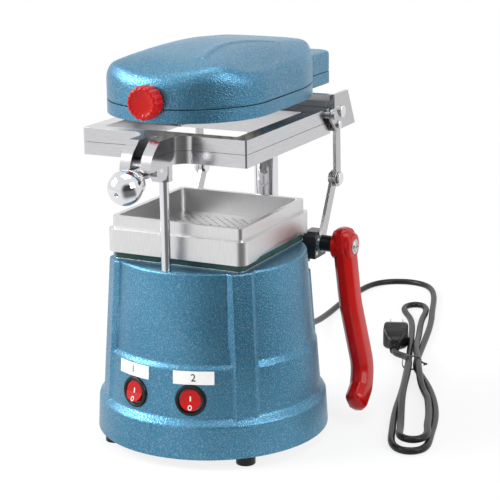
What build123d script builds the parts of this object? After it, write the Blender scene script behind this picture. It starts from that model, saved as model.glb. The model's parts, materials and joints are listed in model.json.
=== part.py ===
"""Benchtop vacuum former for 127 mm dental sheets, as separate pieces.

Units are millimetres.  +Z is up, the front of the machine faces -Y and +X is the
operator's right.  The origin is the axis of the round base, on the bench surface.
"""

from build123d import *
from math import atan2, cos, degrees, hypot, pi, radians, sin, sqrt, tan
import os

# ---------------------------------------------------------------- driving sizes
FACE_GAP = 0.3                # between faces of different bodies
RUN_FIT = 0.05                # radial clearance of a turning or sliding fit
SEAT_FIT = 0.1                # radial clearance of a screw or stud in its hole

FOOT_HEIGHT = 9.0
FOOT_RADIUS = 8.35
FOOT_OFFSET = 63.9

BASE_TOP = 165.0
BASE_WALL = 3.3
DECK_THICKNESS = 5.0
BODY_TAPER = 0.073            # growth of the radius for each unit of depth
BODY_TOP_RADIUS = 83.84
SHOULDER_TOP = 88.2
SHOULDER_FOOT = 84.4
BAND_TOP_RADIUS = 92.3
BAND_FOOT = 42.5
FLANGE_TOP = 37.5
FLANGE_TOP_RADIUS = 100.2
FLANGE_FOOT_RADIUS = 101.8
RIM_FILLET = 1.0

RIB_PROUD = 4.0               # rib face beyond the cone
RIB_FACE_HALF = 8.4
RIB_ROOT_HALF = 12.0
REAR_RIB_TOP = 140.0

COVER_THICKNESS = 2.5
COVER_RADIUS = 98.0
COVER_SCREW_RADIUS = 88.0
VENT_LENGTH = 34.0
VENT_WIDTH = 4.0
VENT_PITCH = 9.0

PLATE_HALF = 62.05            # seat plate and gasket
SEAT_PLATE_THICKNESS = 1.0
GASKET_THICKNESS = 5.7
GASKET_HOLE = 22.0

TRAY_BAND_HALF = 65.5
TRAY_BAND_HEIGHT = 19.8
TRAY_BOX_HALF = 61.8
TRAY_BOX_HEIGHT = 10.7
TRAY_POCKET_HALF = 57.3
TRAY_PLENUM_HALF = 54.0
TRAY_FLOOR = 5.6
TRAY_PLATE_DEPTH = 20.7       # top of the perforated plate below the tray's rim
TRAY_ARCH_HEIGHT = 5.7
TRAY_ARCH_START = -44.0
TRAY_ARCH_END = 59.0
TRAY_ARCH_DEPTH = 3.0
PERFORATED_THICKNESS = 1.0
PLATE_SCREW_GRIP = 5.0
PLATE_SCREW_HEAD = 3.4
PLATE_SCREW_INSET = 7.3
HOLE_PITCH = 8.9
HOLE_RADIUS = 1.1

FRAME_HALF = 76.0
FRAME_FRONT = -78.9
FRAME_REAR = 86.9
FRAME_RISE = 55.05            # raised frame above the tray's rim
LOWER_FRAME_HEIGHT = 10.85
UPPER_FRAME_HEIGHT = 11.7
FRAME_CORNER = 2.0
SHEET_HALF = 63.5             # square thermoplastic sheet that the clamp takes
SHEET_LAP_LOWER = 0.9         # sheet's edge beyond the lower opening
SHEET_LAP_UPPER = 1.5
LOWER_OPENING_FRONT = -67.0
UPPER_OPENING_REAR = 57.0
OPENING_CORNER = 3.0

LUG_HALF = 14.0
LUG_FLARE = 14.0
SLOT_HALF = 4.5
SLOT_BACK = -90.0
BOLT_PIVOT_Y = -101.0
BOLT_PIVOT_DROP = 2.25        # pivot below the lower frame
BOLT_EYE_RADIUS = 7.0
BOLT_SHANK_RADIUS = 4.0
BOLT_PIN_RADIUS = 2.5
BOLT_REST_DROP = 11.0         # degrees below level
CLAMP_CLOSED_LEAN = 40.0      # degrees forward of upright when it clamps
LUG_NOSE_RADIUS = 24.0
CHEEK_HALF = 11.0
CHEEK_FRONT = -109.0
CHEEK_REAR = -91.5
CHEEK_DROP = 9.0              # cheeks' lower end below the pivot
KNOB_START = 24.3             # back face of the knob from the bolt's pivot
COLLAR_RADIUS = 8.5
COLLAR_LENGTH = 5.0
BALL_RADIUS = 14.0
BALL_OFFSET = 40.0

ROD_Y = -78.5
ROD_RADIUS = 4.0
ROD_GRIP = 10.0               # raised rod's length inside its bush
ROD_SEAT = 5.75               # rod's length inside the lower frame
ROD_BOSS_RADIUS = 7.0
ROD_BOSS_HEIGHT = 16.25
ROD_BUSH_RADIUS = 5.0
ROD_BUSH_LENGTH = 15.0
ROD_BUSH_DEPTH = 9.0          # bush's top below the deck

COLUMN_Y = 112.0
COLUMN_RADIUS = 11.0
COLUMN_PROUD = 9.3            # column's top above the head's seam
SOCKET_RADIUS = 20.5
BRIDGE_CLEARANCE = 0.235      # bridge's hollow face outside the body
SOCKET_HEIGHT = 60.0
SOCKET_FLOOR = 6.0
SOCKET_PROUD = 7.0            # socket's top above the deck
BRIDGE_THICKNESS = 12.8
BRIDGE_DEPTH = 12.2           # bridge's top below the deck

SHAFT_Y = 76.0
SHAFT_DEPTH = 5.5             # lever shaft's axis below the deck
SHAFT_RADIUS = 5.5
BLOCK_AHEAD = 8.5             # bearing block around the shaft's axis
BLOCK_BEHIND = 14.5
BLOCK_BELOW = 13.5
BLOCK_ABOVE = 10.5
RIGHT_BLOCK_WIDTH = 11.6
LEFT_BLOCK_WIDTH = 5.8
RIGHT_ARM_END = 57.5
LEFT_ARM_END = 53.3
BUSH_WALL = 1.5
BLOCK_SCREW_RADIUS = 1.8
ARM_GRIP = 4.5                # length of a block's screws in the bridge's arm

BAR_THICKNESS = 3.0
BAR_HALF_WIDTH = 5.25
EYE_RADIUS = 7.5
TOGGLE_BACK = 28.5            # crank's pin from the shaft
TOGGLE_RISE = 53.5
WRIST_BACK = 11.5             # link's upper pin from the tilt pin
WRIST_RISE = 9.8
TOGGLE_PIN_RADIUS = 3.0
PIN_HEAD_RADIUS = 5.5
PIN_HEAD_HEIGHT = 2.2
HUB_RADIUS = 7.25
HUB_LENGTH = 12.2

BRACKET_SETBACK = 0.9         # side plates behind the frame's rear face
BRACKET_RISE = 11.4           # bracket's top above the frame
BRACKET_LIFT = 1.55           # bracket's foot above the frame's underside
BRACKET_PLATE = 3.0
BRACKET_SCREW_RISE = 5.25
BRACKET_BOSS_RADIUS = 17.5
BRACKET_BOSS_DROP = 16.8
BRACKET_BOSS_REBATE = 1.2
SLIDE_BUSH_WALL = 2.5
WEB_THICKNESS = 3.0
WEB_CLEARANCE = 1.3           # web behind the tilting upper frame
SHELF_OVERLAP = 2.9           # shelf ahead of the frame's rear face
SHELF_THICKNESS = 5.2

TILT_BACK = 4.1               # tilt pin behind the frame's rear face
TILT_RISE = 7.25              # tilt pin above the frame's underside
HINGE_SCREW_AHEAD = 5.9
HINGE_SCREW_RISE = 5.9        # hinge screw above the frames' joint
HINGE_PLATE_THICKNESS = 2.0
HINGE_PLATE_RADIUS = 6.2
SCREW_RADIUS = 2.0

GRIP_SETOUT = 9.4             # blade's middle from the hub's inner face
GRIP_CANT = 6.7               # degrees outward
GRIP_THICKNESS = 17.0
GRIP_WIDTH = 23.0
GRIP_CORNER = 5.5
GRIP_BOSS_RADIUS = 12.5
GRIP_HUB_LENGTH = 18.9

HEAD_CLEARANCE = 0.8          # head above the lift bracket
RING_HEIGHT = 10.7
HEAD_CENTRE_Y = -26.6
HEAD_RADIUS = 71.2
HEAD_FLANK = (70.6, 36.0)
HEAD_HEEL = (51.5, 99.0)
HEAD_REAR_CORNER = (41.0, 109.5)
HEAD_WALL = 2.6
CROWN_OVERSIZE = 1.5          # crown's cutting outlines beyond the plan
RING_INSET = 1.0
TAB_HALF = 50.0
TAB_REAR = 151.0
TAB_HEIGHT = 18.8
TAB_CORNER = 12.0
SHELL_BOSS_RADIUS = 4.0
SHELL_SCREW_REACH = 11.3      # screws into the shell's bosses
HEATER_Y = -8.0
HEATER_RADIUS = 49.0
REFLECTOR_RADIUS = 54.0
REFLECTOR_RISE = 12.3
HEATER_SETBACK = 5.0          # heater's face above the ring's underside
HEATER_THICKNESS = 7.0
# crown of the head: from its side or front, and above the seam
CROWN_FRONT_VIEW = [(0.0, 12.3), (4.0, 19.3), (9.0, 24.3), (15.2, 28.3), (21.0, 33.3), (28.0, 38.3),
                    (40.0, 42.8), (60.0, 45.3)]
CROWN_SIDE_VIEW = [(0.0, 10.3), (5.5, 22.3), (16.0, 30.3), (36.0, 38.3), (77.9, 44.3), (97.4, 45.3),
                   (122.4, 44.0), (147.4, 40.7), (172.4, 37.8), (197.4, 34.8)]
CROWN_REAR_HEIGHT = 33.0
HUB_OUTER_RADIUS = 17.0
HUB_HEADROOM = 0.2
HUB_FLANGE = 6.0
GRIP_KNOB_RISE = 6.8          # round knob's axis above the seam
GRIP_KNOB_RADIUS = 14.0
GRIP_KNOB_LENGTH = 14.0
GRIP_KNOB_GAP = 0.6
GRIP_KNOB_FLUTES = 20
FLUTE_RADIUS = 1.8
FLUTE_RIM = 1.1                # flute's axis outside the knob
KNOB_STUD_RADIUS = 3.0
KNOB_STUD_SINK = 10.0          # stud's end behind the knob's front
KNOB_NUT_RADIUS = 4.0
KNOB_NUT_SETBACK = 2.0         # nut behind the head's inner wall, clear of its slope
KNOB_NUT_LENGTH = 3.0

SWITCH_AZIMUTH = 16.4
SWITCH_Z = 59.0
BEZEL_RADIUS = 13.3
BEZEL_HEIGHT = 1.6
BARREL_RADIUS = 10.9
BARREL_LENGTH = 17.0
ROCKER_RADIUS = 9.0
ROCKER_HOLE_RADIUS = 9.9
ROCKER_HALF_THICKNESS = 3.2
ROCKER_TILT = 11.0
SPOT_DEPTH = 1.05

LABEL_BOTTOM = 72.5
LABEL_TOP = 83.9
LABEL_START = 11.5
LABEL_LENGTH = 34.8
LABEL_THICKNESS = 0.4

MOTOR_RADIUS = 41.0
MOTOR_BOTTOM = 30.0
MOTOR_TOP = 108.0
SHROUD_RADIUS = 59.0
SHROUD_TOP = 150.0
SHEET_METAL = 1.5
ARMATURE_RADIUS = 18.0
MOTOR_SHAFT_RADIUS = 4.0
IMPELLER_RADIUS = 52.0

CORD_RADIUS = 3.25
GLAND_AZIMUTH = 90.0          # degrees from +X towards +Y
GLAND_Z = 58.0
GLAND_LENGTH = 13.0
GLAND_RADIUS = 6.5
HANK_FAR = (40.5, 413.5)
HANK_NEAR = (182.7, 8.8)
HANK_HEIGHT = 13.6
# outer shape of the hank: along it from its far end, and to its left or right
HANK_LEFT = [(0, 7), (8, 10.5), (150, 10.5), (204, 13.2), (235, 13), (275, 14.5), (327, 18.5), (360, 19.3),
             (385, 19), (408, 16), (429, 6)]
HANK_RIGHT = [(0, 6), (6, 8.5), (45, 8.5), (45, 15.8), (60, 15.5), (85, 13.5), (120, 10), (170, 6), (204, 5),
              (232, 9.5), (273, 18.6), (301, 22), (327, 24), (353, 23.3), (378, 20.3), (402, 13.5), (429, 5)]
CORD_ENTRY = (45.0, 12.5)     # where the cord joins the hank, along it and to its right
TIE_PLACE = (204.0, -4.1)
TIE_WIDTH = 4.0
TIE_SPAN = 20.0
TIE_PROUD = 1.2
PLUG_PLACE = 150.0            # plug's neck root along the hank
PLUG_WIDTH = 25.0
PLUG_HEIGHT = 21.0
PLUG_LENGTH = 46.0
BLADE_LENGTH = 17.5
BLADE_Z = 15.5
EARTH_PIN_LENGTH = 20.5
EARTH_PIN_Z = 6.5

GRAVITY_SETTLE = CORD_RADIUS + 0.05
CORD_ROUTE = [
    (-4.0, 160.0, 53.5),
    (-13.0, 200.0, 41.0),
    (-24.0, 246.0, 24.0),
    (-34.0, 296.0, 9.5),
    (-42.0, 348.0, GRAVITY_SETTLE),
    (-46.0, 398.0, GRAVITY_SETTLE + 0.2),
    (-46.5, 440.0, GRAVITY_SETTLE),
    (-43.0, 476.9, GRAVITY_SETTLE + 0.2),
    (-27.3, 497.3, GRAVITY_SETTLE),
    (-2.4, 504.0, GRAVITY_SETTLE + 0.2),
    (21.4, 494.1, GRAVITY_SETTLE),
    (40.0, 458.0, GRAVITY_SETTLE + 0.2),
]
CORD_LEAD_OUT = 24.0          # straight run out of the gland
CORD_LEAD_IN = 30.0           # straight run into the hank

# ---------------------------------------------------------------- derived sizes
SEAT_PLATE_TOP = BASE_TOP + SEAT_PLATE_THICKNESS
GASKET_TOP = SEAT_PLATE_TOP + GASKET_THICKNESS
TRAY_SHOULDER = GASKET_TOP + TRAY_BAND_HEIGHT
TRAY_TOP = TRAY_SHOULDER + TRAY_BOX_HEIGHT
PERFORATED_TOP = TRAY_TOP - TRAY_PLATE_DEPTH
PERFORATED_BOTTOM = PERFORATED_TOP - PERFORATED_THICKNESS
FRAME_BOTTOM = TRAY_TOP + FRAME_RISE
FRAME_JOINT = FRAME_BOTTOM + LOWER_FRAME_HEIGHT
FRAME_TOP = FRAME_JOINT + UPPER_FRAME_HEIGHT
LOWER_OPENING_HALF = SHEET_HALF - SHEET_LAP_LOWER
UPPER_OPENING_HALF = SHEET_HALF - SHEET_LAP_UPPER
LOWER_OPENING_REAR = LOWER_OPENING_HALF
LIFT_TRAVEL = FRAME_BOTTOM - TRAY_SHOULDER - FACE_GAP
BOLT_PIVOT_Z = FRAME_BOTTOM - BOLT_PIVOT_DROP
CHEEK_BOTTOM = BOLT_PIVOT_Z - CHEEK_DROP
ROD_BUSH_TOP = BASE_TOP - ROD_BUSH_DEPTH
ROD_BUSH_BOTTOM = ROD_BUSH_TOP - ROD_BUSH_LENGTH
ROD_REST_FOOT = ROD_BUSH_TOP - ROD_GRIP
ROD_TOP = FRAME_BOTTOM + ROD_SEAT
ROD_BOSS_BOTTOM = FRAME_BOTTOM - ROD_BOSS_HEIGHT
SHAFT_Z = BASE_TOP - SHAFT_DEPTH
BLOCK_FRONT = SHAFT_Y - BLOCK_AHEAD
BLOCK_REAR = SHAFT_Y + BLOCK_BEHIND
BLOCK_BOTTOM = SHAFT_Z - BLOCK_BELOW
BLOCK_TOP = SHAFT_Z + BLOCK_ABOVE
SOCKET_TOP = BASE_TOP + SOCKET_PROUD
SOCKET_BOTTOM = SOCKET_TOP - SOCKET_HEIGHT
COLUMN_FOOT = SOCKET_BOTTOM + SOCKET_FLOOR
BRIDGE_TOP = BASE_TOP - BRIDGE_DEPTH
BRIDGE_BOTTOM = BRIDGE_TOP - BRIDGE_THICKNESS
BRIDGE_INNER_RADIUS = BODY_TOP_RADIUS + BODY_TAPER * (BASE_TOP - BRIDGE_BOTTOM) + BRIDGE_CLEARANCE
TILT_Y = FRAME_REAR + TILT_BACK
TILT_Z = FRAME_BOTTOM + TILT_RISE
HINGE_SCREW_Y = FRAME_REAR - HINGE_SCREW_AHEAD
HINGE_SCREW_Z = FRAME_JOINT + HINGE_SCREW_RISE
TOGGLE_Y = SHAFT_Y + TOGGLE_BACK
TOGGLE_Z = SHAFT_Z + TOGGLE_RISE
WRIST_Y = TILT_Y + WRIST_BACK
WRIST_Z = TILT_Z + WRIST_RISE
BRACKET_FRONT = FRAME_REAR + BRACKET_SETBACK
BRACKET_TOP = FRAME_TOP + BRACKET_RISE
BRACKET_BOTTOM = FRAME_BOTTOM + BRACKET_LIFT
BRACKET_BOSS_BOTTOM = BRACKET_BOTTOM - BRACKET_BOSS_DROP
BRACKET_BOSS_TOP = BRACKET_TOP - BRACKET_BOSS_REBATE
SHELF_FRONT = FRAME_REAR - SHELF_OVERLAP
SHELF_BOTTOM = BRACKET_TOP - SHELF_THICKNESS
BRACKET_SCREW_Z = FRAME_BOTTOM + BRACKET_SCREW_RISE
HEAD_BOTTOM = BRACKET_TOP + HEAD_CLEARANCE
HEAD_SEAM = HEAD_BOTTOM + RING_HEIGHT
TAB_TOP = HEAD_SEAM + TAB_HEIGHT
COLUMN_TOP = HEAD_SEAM + COLUMN_PROUD
PIVOT_HUB_TOP = TAB_TOP - HEAD_WALL - HUB_HEADROOM
SHELL_SCREW_TOP = HEAD_SEAM + SHELL_SCREW_REACH
REFLECTOR_TOP = HEAD_SEAM + REFLECTOR_RISE
HEATER_BOTTOM = HEAD_BOTTOM + HEATER_SETBACK
HEATER_TOP = HEATER_BOTTOM + HEATER_THICKNESS
GRIP_KNOB_Z = HEAD_SEAM + GRIP_KNOB_RISE
GRIP_KNOB_BACK = HEAD_CENTRE_Y - HEAD_RADIUS - GRIP_KNOB_GAP
GRIP_KNOB_FRONT = GRIP_KNOB_BACK - GRIP_KNOB_LENGTH
BLOCK_RIGHT = RIGHT_ARM_END + RIGHT_BLOCK_WIDTH
BLOCK_LEFT = -(LEFT_ARM_END + LEFT_BLOCK_WIDTH)
CRANK_RIGHT = BLOCK_RIGHT + FACE_GAP
CRANK_LEFT = BLOCK_LEFT - FACE_GAP
LINK_RIGHT = CRANK_RIGHT + BAR_THICKNESS + FACE_GAP
LINK_LEFT = CRANK_LEFT - BAR_THICKNESS - FACE_GAP
PLATE_RIGHT = LINK_RIGHT + BAR_THICKNESS + FACE_GAP
CHEEK_LEFT = LINK_LEFT - BAR_THICKNESS - FACE_GAP
HINGE_PLATE_X = PLATE_RIGHT + BRACKET_PLATE + FACE_GAP
HUB_END = CRANK_RIGHT + BAR_THICKNESS + HUB_LENGTH
GRIP_START_X = HUB_END + GRIP_SETOUT
GRIP_OUTER_X = HUB_END + GRIP_HUB_LENGTH
WEB_FRONT = FRAME_REAR + WEB_CLEARANCE
CRANK_REACH = hypot(TOGGLE_Y - SHAFT_Y, TOGGLE_Z - SHAFT_Z)
LINK_REACH = hypot(WRIST_Y - TOGGLE_Y, WRIST_Z - TOGGLE_Z)
SLOPE = degrees(atan2(BODY_TAPER, 1.0))
BOTTOM_ALIGN = (Align.CENTER, Align.CENTER, Align.MIN)


def cone_radius(z):
    """Outer radius of the upper body at a height."""
    return BODY_TOP_RADIUS + BODY_TAPER * (BASE_TOP - z)


def band_radius(z):
    """Outer radius of the lower band at a height."""
    return BAND_TOP_RADIUS + BODY_TAPER * (SHOULDER_FOOT - z)


def rib_radius(z):
    """Distance of a rib's face from the axis at a height."""
    return cone_radius(z) + RIB_PROUD


# ---------------------------------------------------------------- shape helpers
def disc(radius, bottom, top, x=0.0, y=0.0):
    """Upright cylinder between two heights."""
    return Pos(x, y, bottom) * Cylinder(radius, top - bottom, align=BOTTOM_ALIGN)


def tube(outer, inner, bottom, top, x=0.0, y=0.0):
    """Upright sleeve between two heights."""
    return disc(outer, bottom, top, x, y) - disc(inner, bottom, top, x, y)


def bar(start, end, radius):
    """Round bar from one point to another."""
    axis = Vector(*end) - Vector(*start)
    return Plane(origin=start, z_dir=axis) * Cylinder(radius, axis.length, align=BOTTOM_ALIGN)


def cross_bar(radius, x0, x1, y, z):
    """Round bar along X."""
    return bar((x0, y, z), (x1, y, z), radius)


def block(x0, x1, y0, y1, z0, z1):
    """Plain block between two corners."""
    size = Box(x1 - x0, y1 - y0, z1 - z0, align=(Align.MIN, Align.MIN, Align.MIN))
    return Pos(x0, y0, z0) * size


def rounded_block(x0, x1, y0, y1, z0, z1, corner):
    """Block with rounded upright edges."""
    outline = Pos((x0 + x1) / 2, (y0 + y1) / 2, z0) * RectangleRounded(x1 - x0, y1 - y0, corner)
    return extrude(outline, amount=z1 - z0, dir=(0, 0, 1))


def side_slab(points, x0, x1):
    """Slab along X with a straight-sided outline of (y, z) points."""
    outline = make_face(Polyline(*points, close=True))
    return extrude(Plane.YZ.offset(x0) * outline, amount=x1 - x0)


def spun(points):
    """Solid of revolution about Z from (radius, z) points."""
    return revolve(Plane.XZ * make_face(Polyline(*points, close=True)), Axis.Z)


def mirrored_x(shape):
    """The same shape on the other side of the machine."""
    return mirror(shape, about=Plane.YZ)


def write(name, *shapes):
    """Write one node's solids to its own file."""
    solids = [solid for shape in shapes for solid in shape.solids()]
    body = solids[0] if len(solids) == 1 else Compound(solids)
    export_step(body, f"parts/{name}.step")


# ---------------------------------------------------------------- base casting
def body_profile(inset, bottom, top):
    """Half outline of the body, moved inward by a wall."""
    return [
        (0, bottom),
        (FLANGE_FOOT_RADIUS - inset, bottom),
        (FLANGE_TOP_RADIUS - inset, FLANGE_TOP - inset / 2),
        (band_radius(BAND_FOOT) - inset, BAND_FOOT - inset / 2),
        (BAND_TOP_RADIUS - inset, SHOULDER_FOOT - inset / 2),
        (cone_radius(SHOULDER_TOP) - inset, SHOULDER_TOP - inset / 2),
        (cone_radius(top) - inset, top),
        (0, top),
    ]


def rib(angle, top):
    """One upright rib, from the flange's top to a height."""
    def section(z):
        face = rib_radius(z)
        flank = face - (RIB_ROOT_HALF - RIB_FACE_HALF)
        root = 76.0
        points = [
            (root, -RIB_ROOT_HALF),
            (flank, -RIB_ROOT_HALF),
            (face, -RIB_FACE_HALF),
            (face, RIB_FACE_HALF),
            (flank, RIB_ROOT_HALF),
            (root, RIB_ROOT_HALF),
        ]
        return Pos(0, 0, z) * make_face(Polyline(*points, close=True))
    return Rot(0, 0, angle) * loft([section(FLANGE_TOP), section(top)], ruled=True)


def switch_plane(side):
    """Plane on the lower band at a switch, its normal pointing out."""
    azimuth = radians(-90 + side * SWITCH_AZIMUTH)
    lean = radians(SLOPE)
    radius = band_radius(SWITCH_Z)
    outward = (cos(azimuth), sin(azimuth))
    origin = (radius * outward[0], radius * outward[1], SWITCH_Z)
    normal = (outward[0] * cos(lean), outward[1] * cos(lean), sin(lean))
    return Plane(origin=origin, x_dir=(-outward[1], outward[0], 0), z_dir=normal)


def gland_plane():
    """Plane on the lower band at the cord's way out."""
    azimuth = radians(GLAND_AZIMUTH)
    radius = band_radius(GLAND_Z)
    origin = (radius * cos(azimuth), radius * sin(azimuth), GLAND_Z)
    return Plane(origin=origin, z_dir=(cos(azimuth), sin(azimuth), 0))


def cover_screw_places():
    """Places of the four screws in the bottom cover."""
    return [(COVER_SCREW_RADIUS * cos(a), COVER_SCREW_RADIUS * sin(a))
            for a in (radians(22.5 + 90 * i) for i in range(4))]


def bridge_screw_places():
    """Places of the screws that hold the bridge to the body, and their direction."""
    return [radians(angle) for angle in (58.0, 76.0, 104.0, 122.0)]


def base_housing():
    """Hollow cast body with its ribs, deck, bosses and openings."""
    shell = spun(body_profile(0, FOOT_HEIGHT, BASE_TOP))
    for angle, top in ((-45, BASE_TOP), (-135, BASE_TOP), (45, REAR_RIB_TOP), (135, REAR_RIB_TOP)):
        shell += rib(angle, top)
    hollow = spun(body_profile(BASE_WALL, FOOT_HEIGHT, BASE_TOP - DECK_THICKNESS))
    channel_floor = SHAFT_Z - SHAFT_RADIUS - FACE_GAP * 2
    saddle = block(-42, 42, SHAFT_Y - SHAFT_RADIUS - 6, 84, channel_floor - 5, BASE_TOP)
    hollow -= saddle
    hollow -= disc(ROD_BUSH_RADIUS + 3, ROD_BUSH_BOTTOM, BASE_TOP, 0, ROD_Y + 1)
    for x, y in cover_screw_places():
        hollow -= disc(6, FOOT_HEIGHT + COVER_THICKNESS, 32, x, y)
        turn = degrees(atan2(y, x))
        hollow -= Rot(0, 0, turn) * block(COVER_SCREW_RADIUS, 104, -4, 4, FOOT_HEIGHT + COVER_THICKNESS, 32)
    for sx in (-1, 1):
        for sy in (-1, 1):
            post = disc(FOOT_RADIUS + 0.6, FOOT_HEIGHT + COVER_THICKNESS, 20, sx * FOOT_OFFSET, sy * FOOT_OFFSET)
            hollow -= post
    shell -= hollow
    shell -= disc(COVER_RADIUS + FACE_GAP, FOOT_HEIGHT, FOOT_HEIGHT + COVER_THICKNESS)
    shell -= block(-60, 60, SHAFT_Y - SHAFT_RADIUS - FACE_GAP * 2, 100, channel_floor, BASE_TOP + 1)
    shell -= disc(GASKET_HOLE, BASE_TOP - DECK_THICKNESS, BASE_TOP)
    shell -= disc(ROD_RADIUS + FACE_GAP, ROD_REST_FOOT - LIFT_TRAVEL, BASE_TOP, 0, ROD_Y)
    shell -= disc(ROD_BUSH_RADIUS, ROD_BUSH_BOTTOM, ROD_BUSH_TOP, 0, ROD_Y)
    for x, y in cover_screw_places():
        shell -= disc(SCREW_RADIUS, FOOT_HEIGHT, 26, x, y)
    for side in (-1, 1):
        seat = switch_plane(side)
        shell -= seat.offset(-SPOT_DEPTH) * Cylinder(BEZEL_RADIUS + FACE_GAP, 6, align=BOTTOM_ALIGN)
        shell -= seat.offset(-8) * Cylinder(BARREL_RADIUS + SEAT_FIT, 10, align=BOTTOM_ALIGN)
    shell -= gland_plane().offset(-8) * Cylinder(GLAND_RADIUS - 1.5 + SEAT_FIT, 16, align=BOTTOM_ALIGN)
    shell -= gland_plane().offset(-0.6) * Cylinder(GLAND_RADIUS + FACE_GAP, 5, align=BOTTOM_ALIGN)
    for angle in bridge_screw_places():
        shell -= bridge_screw(angle, SCREW_RADIUS + SEAT_FIT)
    for place in standoff_places():
        shell -= disc(SCREW_RADIUS, BASE_TOP - DECK_THICKNESS, BASE_TOP - 2, *place)
    return shell


def bridge_screw(angle, radius):
    """Round bar through the body's rear wall into the bridge, low on its rim."""
    z = BRIDGE_BOTTOM + 4.2
    start = (78 * cos(angle), 78 * sin(angle), z)
    end = (89.0 * cos(angle), 89.0 * sin(angle), z)
    return bar(start, end, radius)


def bottom_cover():
    """Round plate that closes the body, with outlet vents and screw holes."""
    cover = disc(COVER_RADIUS, FOOT_HEIGHT, FOOT_HEIGHT + COVER_THICKNESS)
    for i in range(7):
        x = (i - 3) * VENT_PITCH
        cover -= block(x - VENT_WIDTH / 2, x + VENT_WIDTH / 2, -VENT_LENGTH / 2, VENT_LENGTH / 2, 0, 20)
    for x, y in cover_screw_places():
        cover -= disc(SCREW_RADIUS + SEAT_FIT, 0, 20, x, y)
    for sx in (-1, 1):
        for sy in (-1, 1):
            cover -= disc(SCREW_RADIUS + SEAT_FIT, 0, 20, sx * FOOT_OFFSET, sy * FOOT_OFFSET)
    return cover


def cover_screws():
    """Pan-head screws under the cover."""
    return [disc(SCREW_RADIUS, FOOT_HEIGHT, 26, x, y) + disc(4, FOOT_HEIGHT - 2, FOOT_HEIGHT, x, y)
            for x, y in cover_screw_places()]


def rubber_feet():
    """Four round feet, each with a peg that holds it in the cover."""
    feet = []
    for sx in (-1, 1):
        for sy in (-1, 1):
            x, y = sx * FOOT_OFFSET, sy * FOOT_OFFSET
            foot = disc(FOOT_RADIUS, 0, FOOT_HEIGHT, x, y)
            foot += disc(SCREW_RADIUS, FOOT_HEIGHT, FOOT_HEIGHT + COVER_THICKNESS, x, y)
            feet.append(foot)
    return feet


# ---------------------------------------------------------------- vacuum tray
def square_ring(half, hole, bottom, top, corner):
    """Square plate with rounded corners and a round hole in the middle."""
    plate = rounded_block(-half, half, -half, half, bottom, top, corner)
    return plate - disc(hole, bottom, top)


def seat_plate():
    """Thin plate on the deck under the gasket."""
    return square_ring(PLATE_HALF, GASKET_HOLE, BASE_TOP, SEAT_PLATE_TOP, 6)


def tray_gasket():
    """Sealing gasket between the seat plate and the tray."""
    return square_ring(PLATE_HALF - 0.4, GASKET_HOLE, SEAT_PLATE_TOP, GASKET_TOP, 6)


def tray_arch():
    """Shallow arched relief in the lower edge of a side band, on the right."""
    middle = (TRAY_ARCH_START + TRAY_ARCH_END) / 2
    crown = (middle, GASKET_TOP + TRAY_ARCH_HEIGHT)
    start = (TRAY_ARCH_START, GASKET_TOP)
    end = (TRAY_ARCH_END, GASKET_TOP)
    outline = make_face([ThreePointArc(start, crown, end), Line(end, start)])
    return extrude(Plane.YZ.offset(TRAY_BAND_HALF - TRAY_ARCH_DEPTH) * outline, amount=TRAY_ARCH_DEPTH + 1)


def plate_screw_places():
    """Corners where the perforated plate is screwed down."""
    at = TRAY_POCKET_HALF - PLATE_SCREW_INSET
    return [(x * at, y * at) for x in (-1, 1) for y in (-1, 1)]


def vacuum_tray():
    """Open-topped tray with a plenum under the plate's ledge."""
    band = rounded_block(-TRAY_BAND_HALF, TRAY_BAND_HALF, -TRAY_BAND_HALF, TRAY_BAND_HALF,
                         GASKET_TOP, TRAY_SHOULDER, 8)
    box = rounded_block(-TRAY_BOX_HALF, TRAY_BOX_HALF, -TRAY_BOX_HALF, TRAY_BOX_HALF,
                        TRAY_SHOULDER, TRAY_TOP, 4)
    tray = band + box
    half = TRAY_POCKET_HALF
    tray -= rounded_block(-half, half, -half, half, PERFORATED_BOTTOM, TRAY_TOP, 3)
    half = TRAY_PLENUM_HALF
    plenum = rounded_block(-half, half, -half, half, GASKET_TOP + TRAY_FLOOR, PERFORATED_BOTTOM, 3)
    for x, y in plate_screw_places():
        plenum -= disc(5, GASKET_TOP + TRAY_FLOOR, PERFORATED_BOTTOM, x, y)
        plenum -= block(min(x, x * 1.2), max(x, x * 1.2), min(y, y * 1.2), max(y, y * 1.2),
                        GASKET_TOP + TRAY_FLOOR, PERFORATED_BOTTOM)
    tray -= plenum
    tray -= disc(GASKET_HOLE, GASKET_TOP, GASKET_TOP + TRAY_FLOOR)
    tray -= tray_arch()
    tray -= mirrored_x(tray_arch())
    for x, y in plate_screw_places():
        tray -= disc(SCREW_RADIUS, PERFORATED_BOTTOM - PLATE_SCREW_GRIP, PERFORATED_BOTTOM, x, y)
    return tray


def plate_screw(x, y, clearance):
    """Countersunk screw, flush with the perforated plate, grown by a clearance."""
    stem = disc(SCREW_RADIUS + clearance, PERFORATED_BOTTOM - PLATE_SCREW_GRIP, PERFORATED_TOP, x, y)
    head = Cone(SCREW_RADIUS + clearance, PLATE_SCREW_HEAD + clearance, PERFORATED_THICKNESS, align=BOTTOM_ALIGN)
    return stem + Pos(x, y, PERFORATED_BOTTOM) * head


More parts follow.
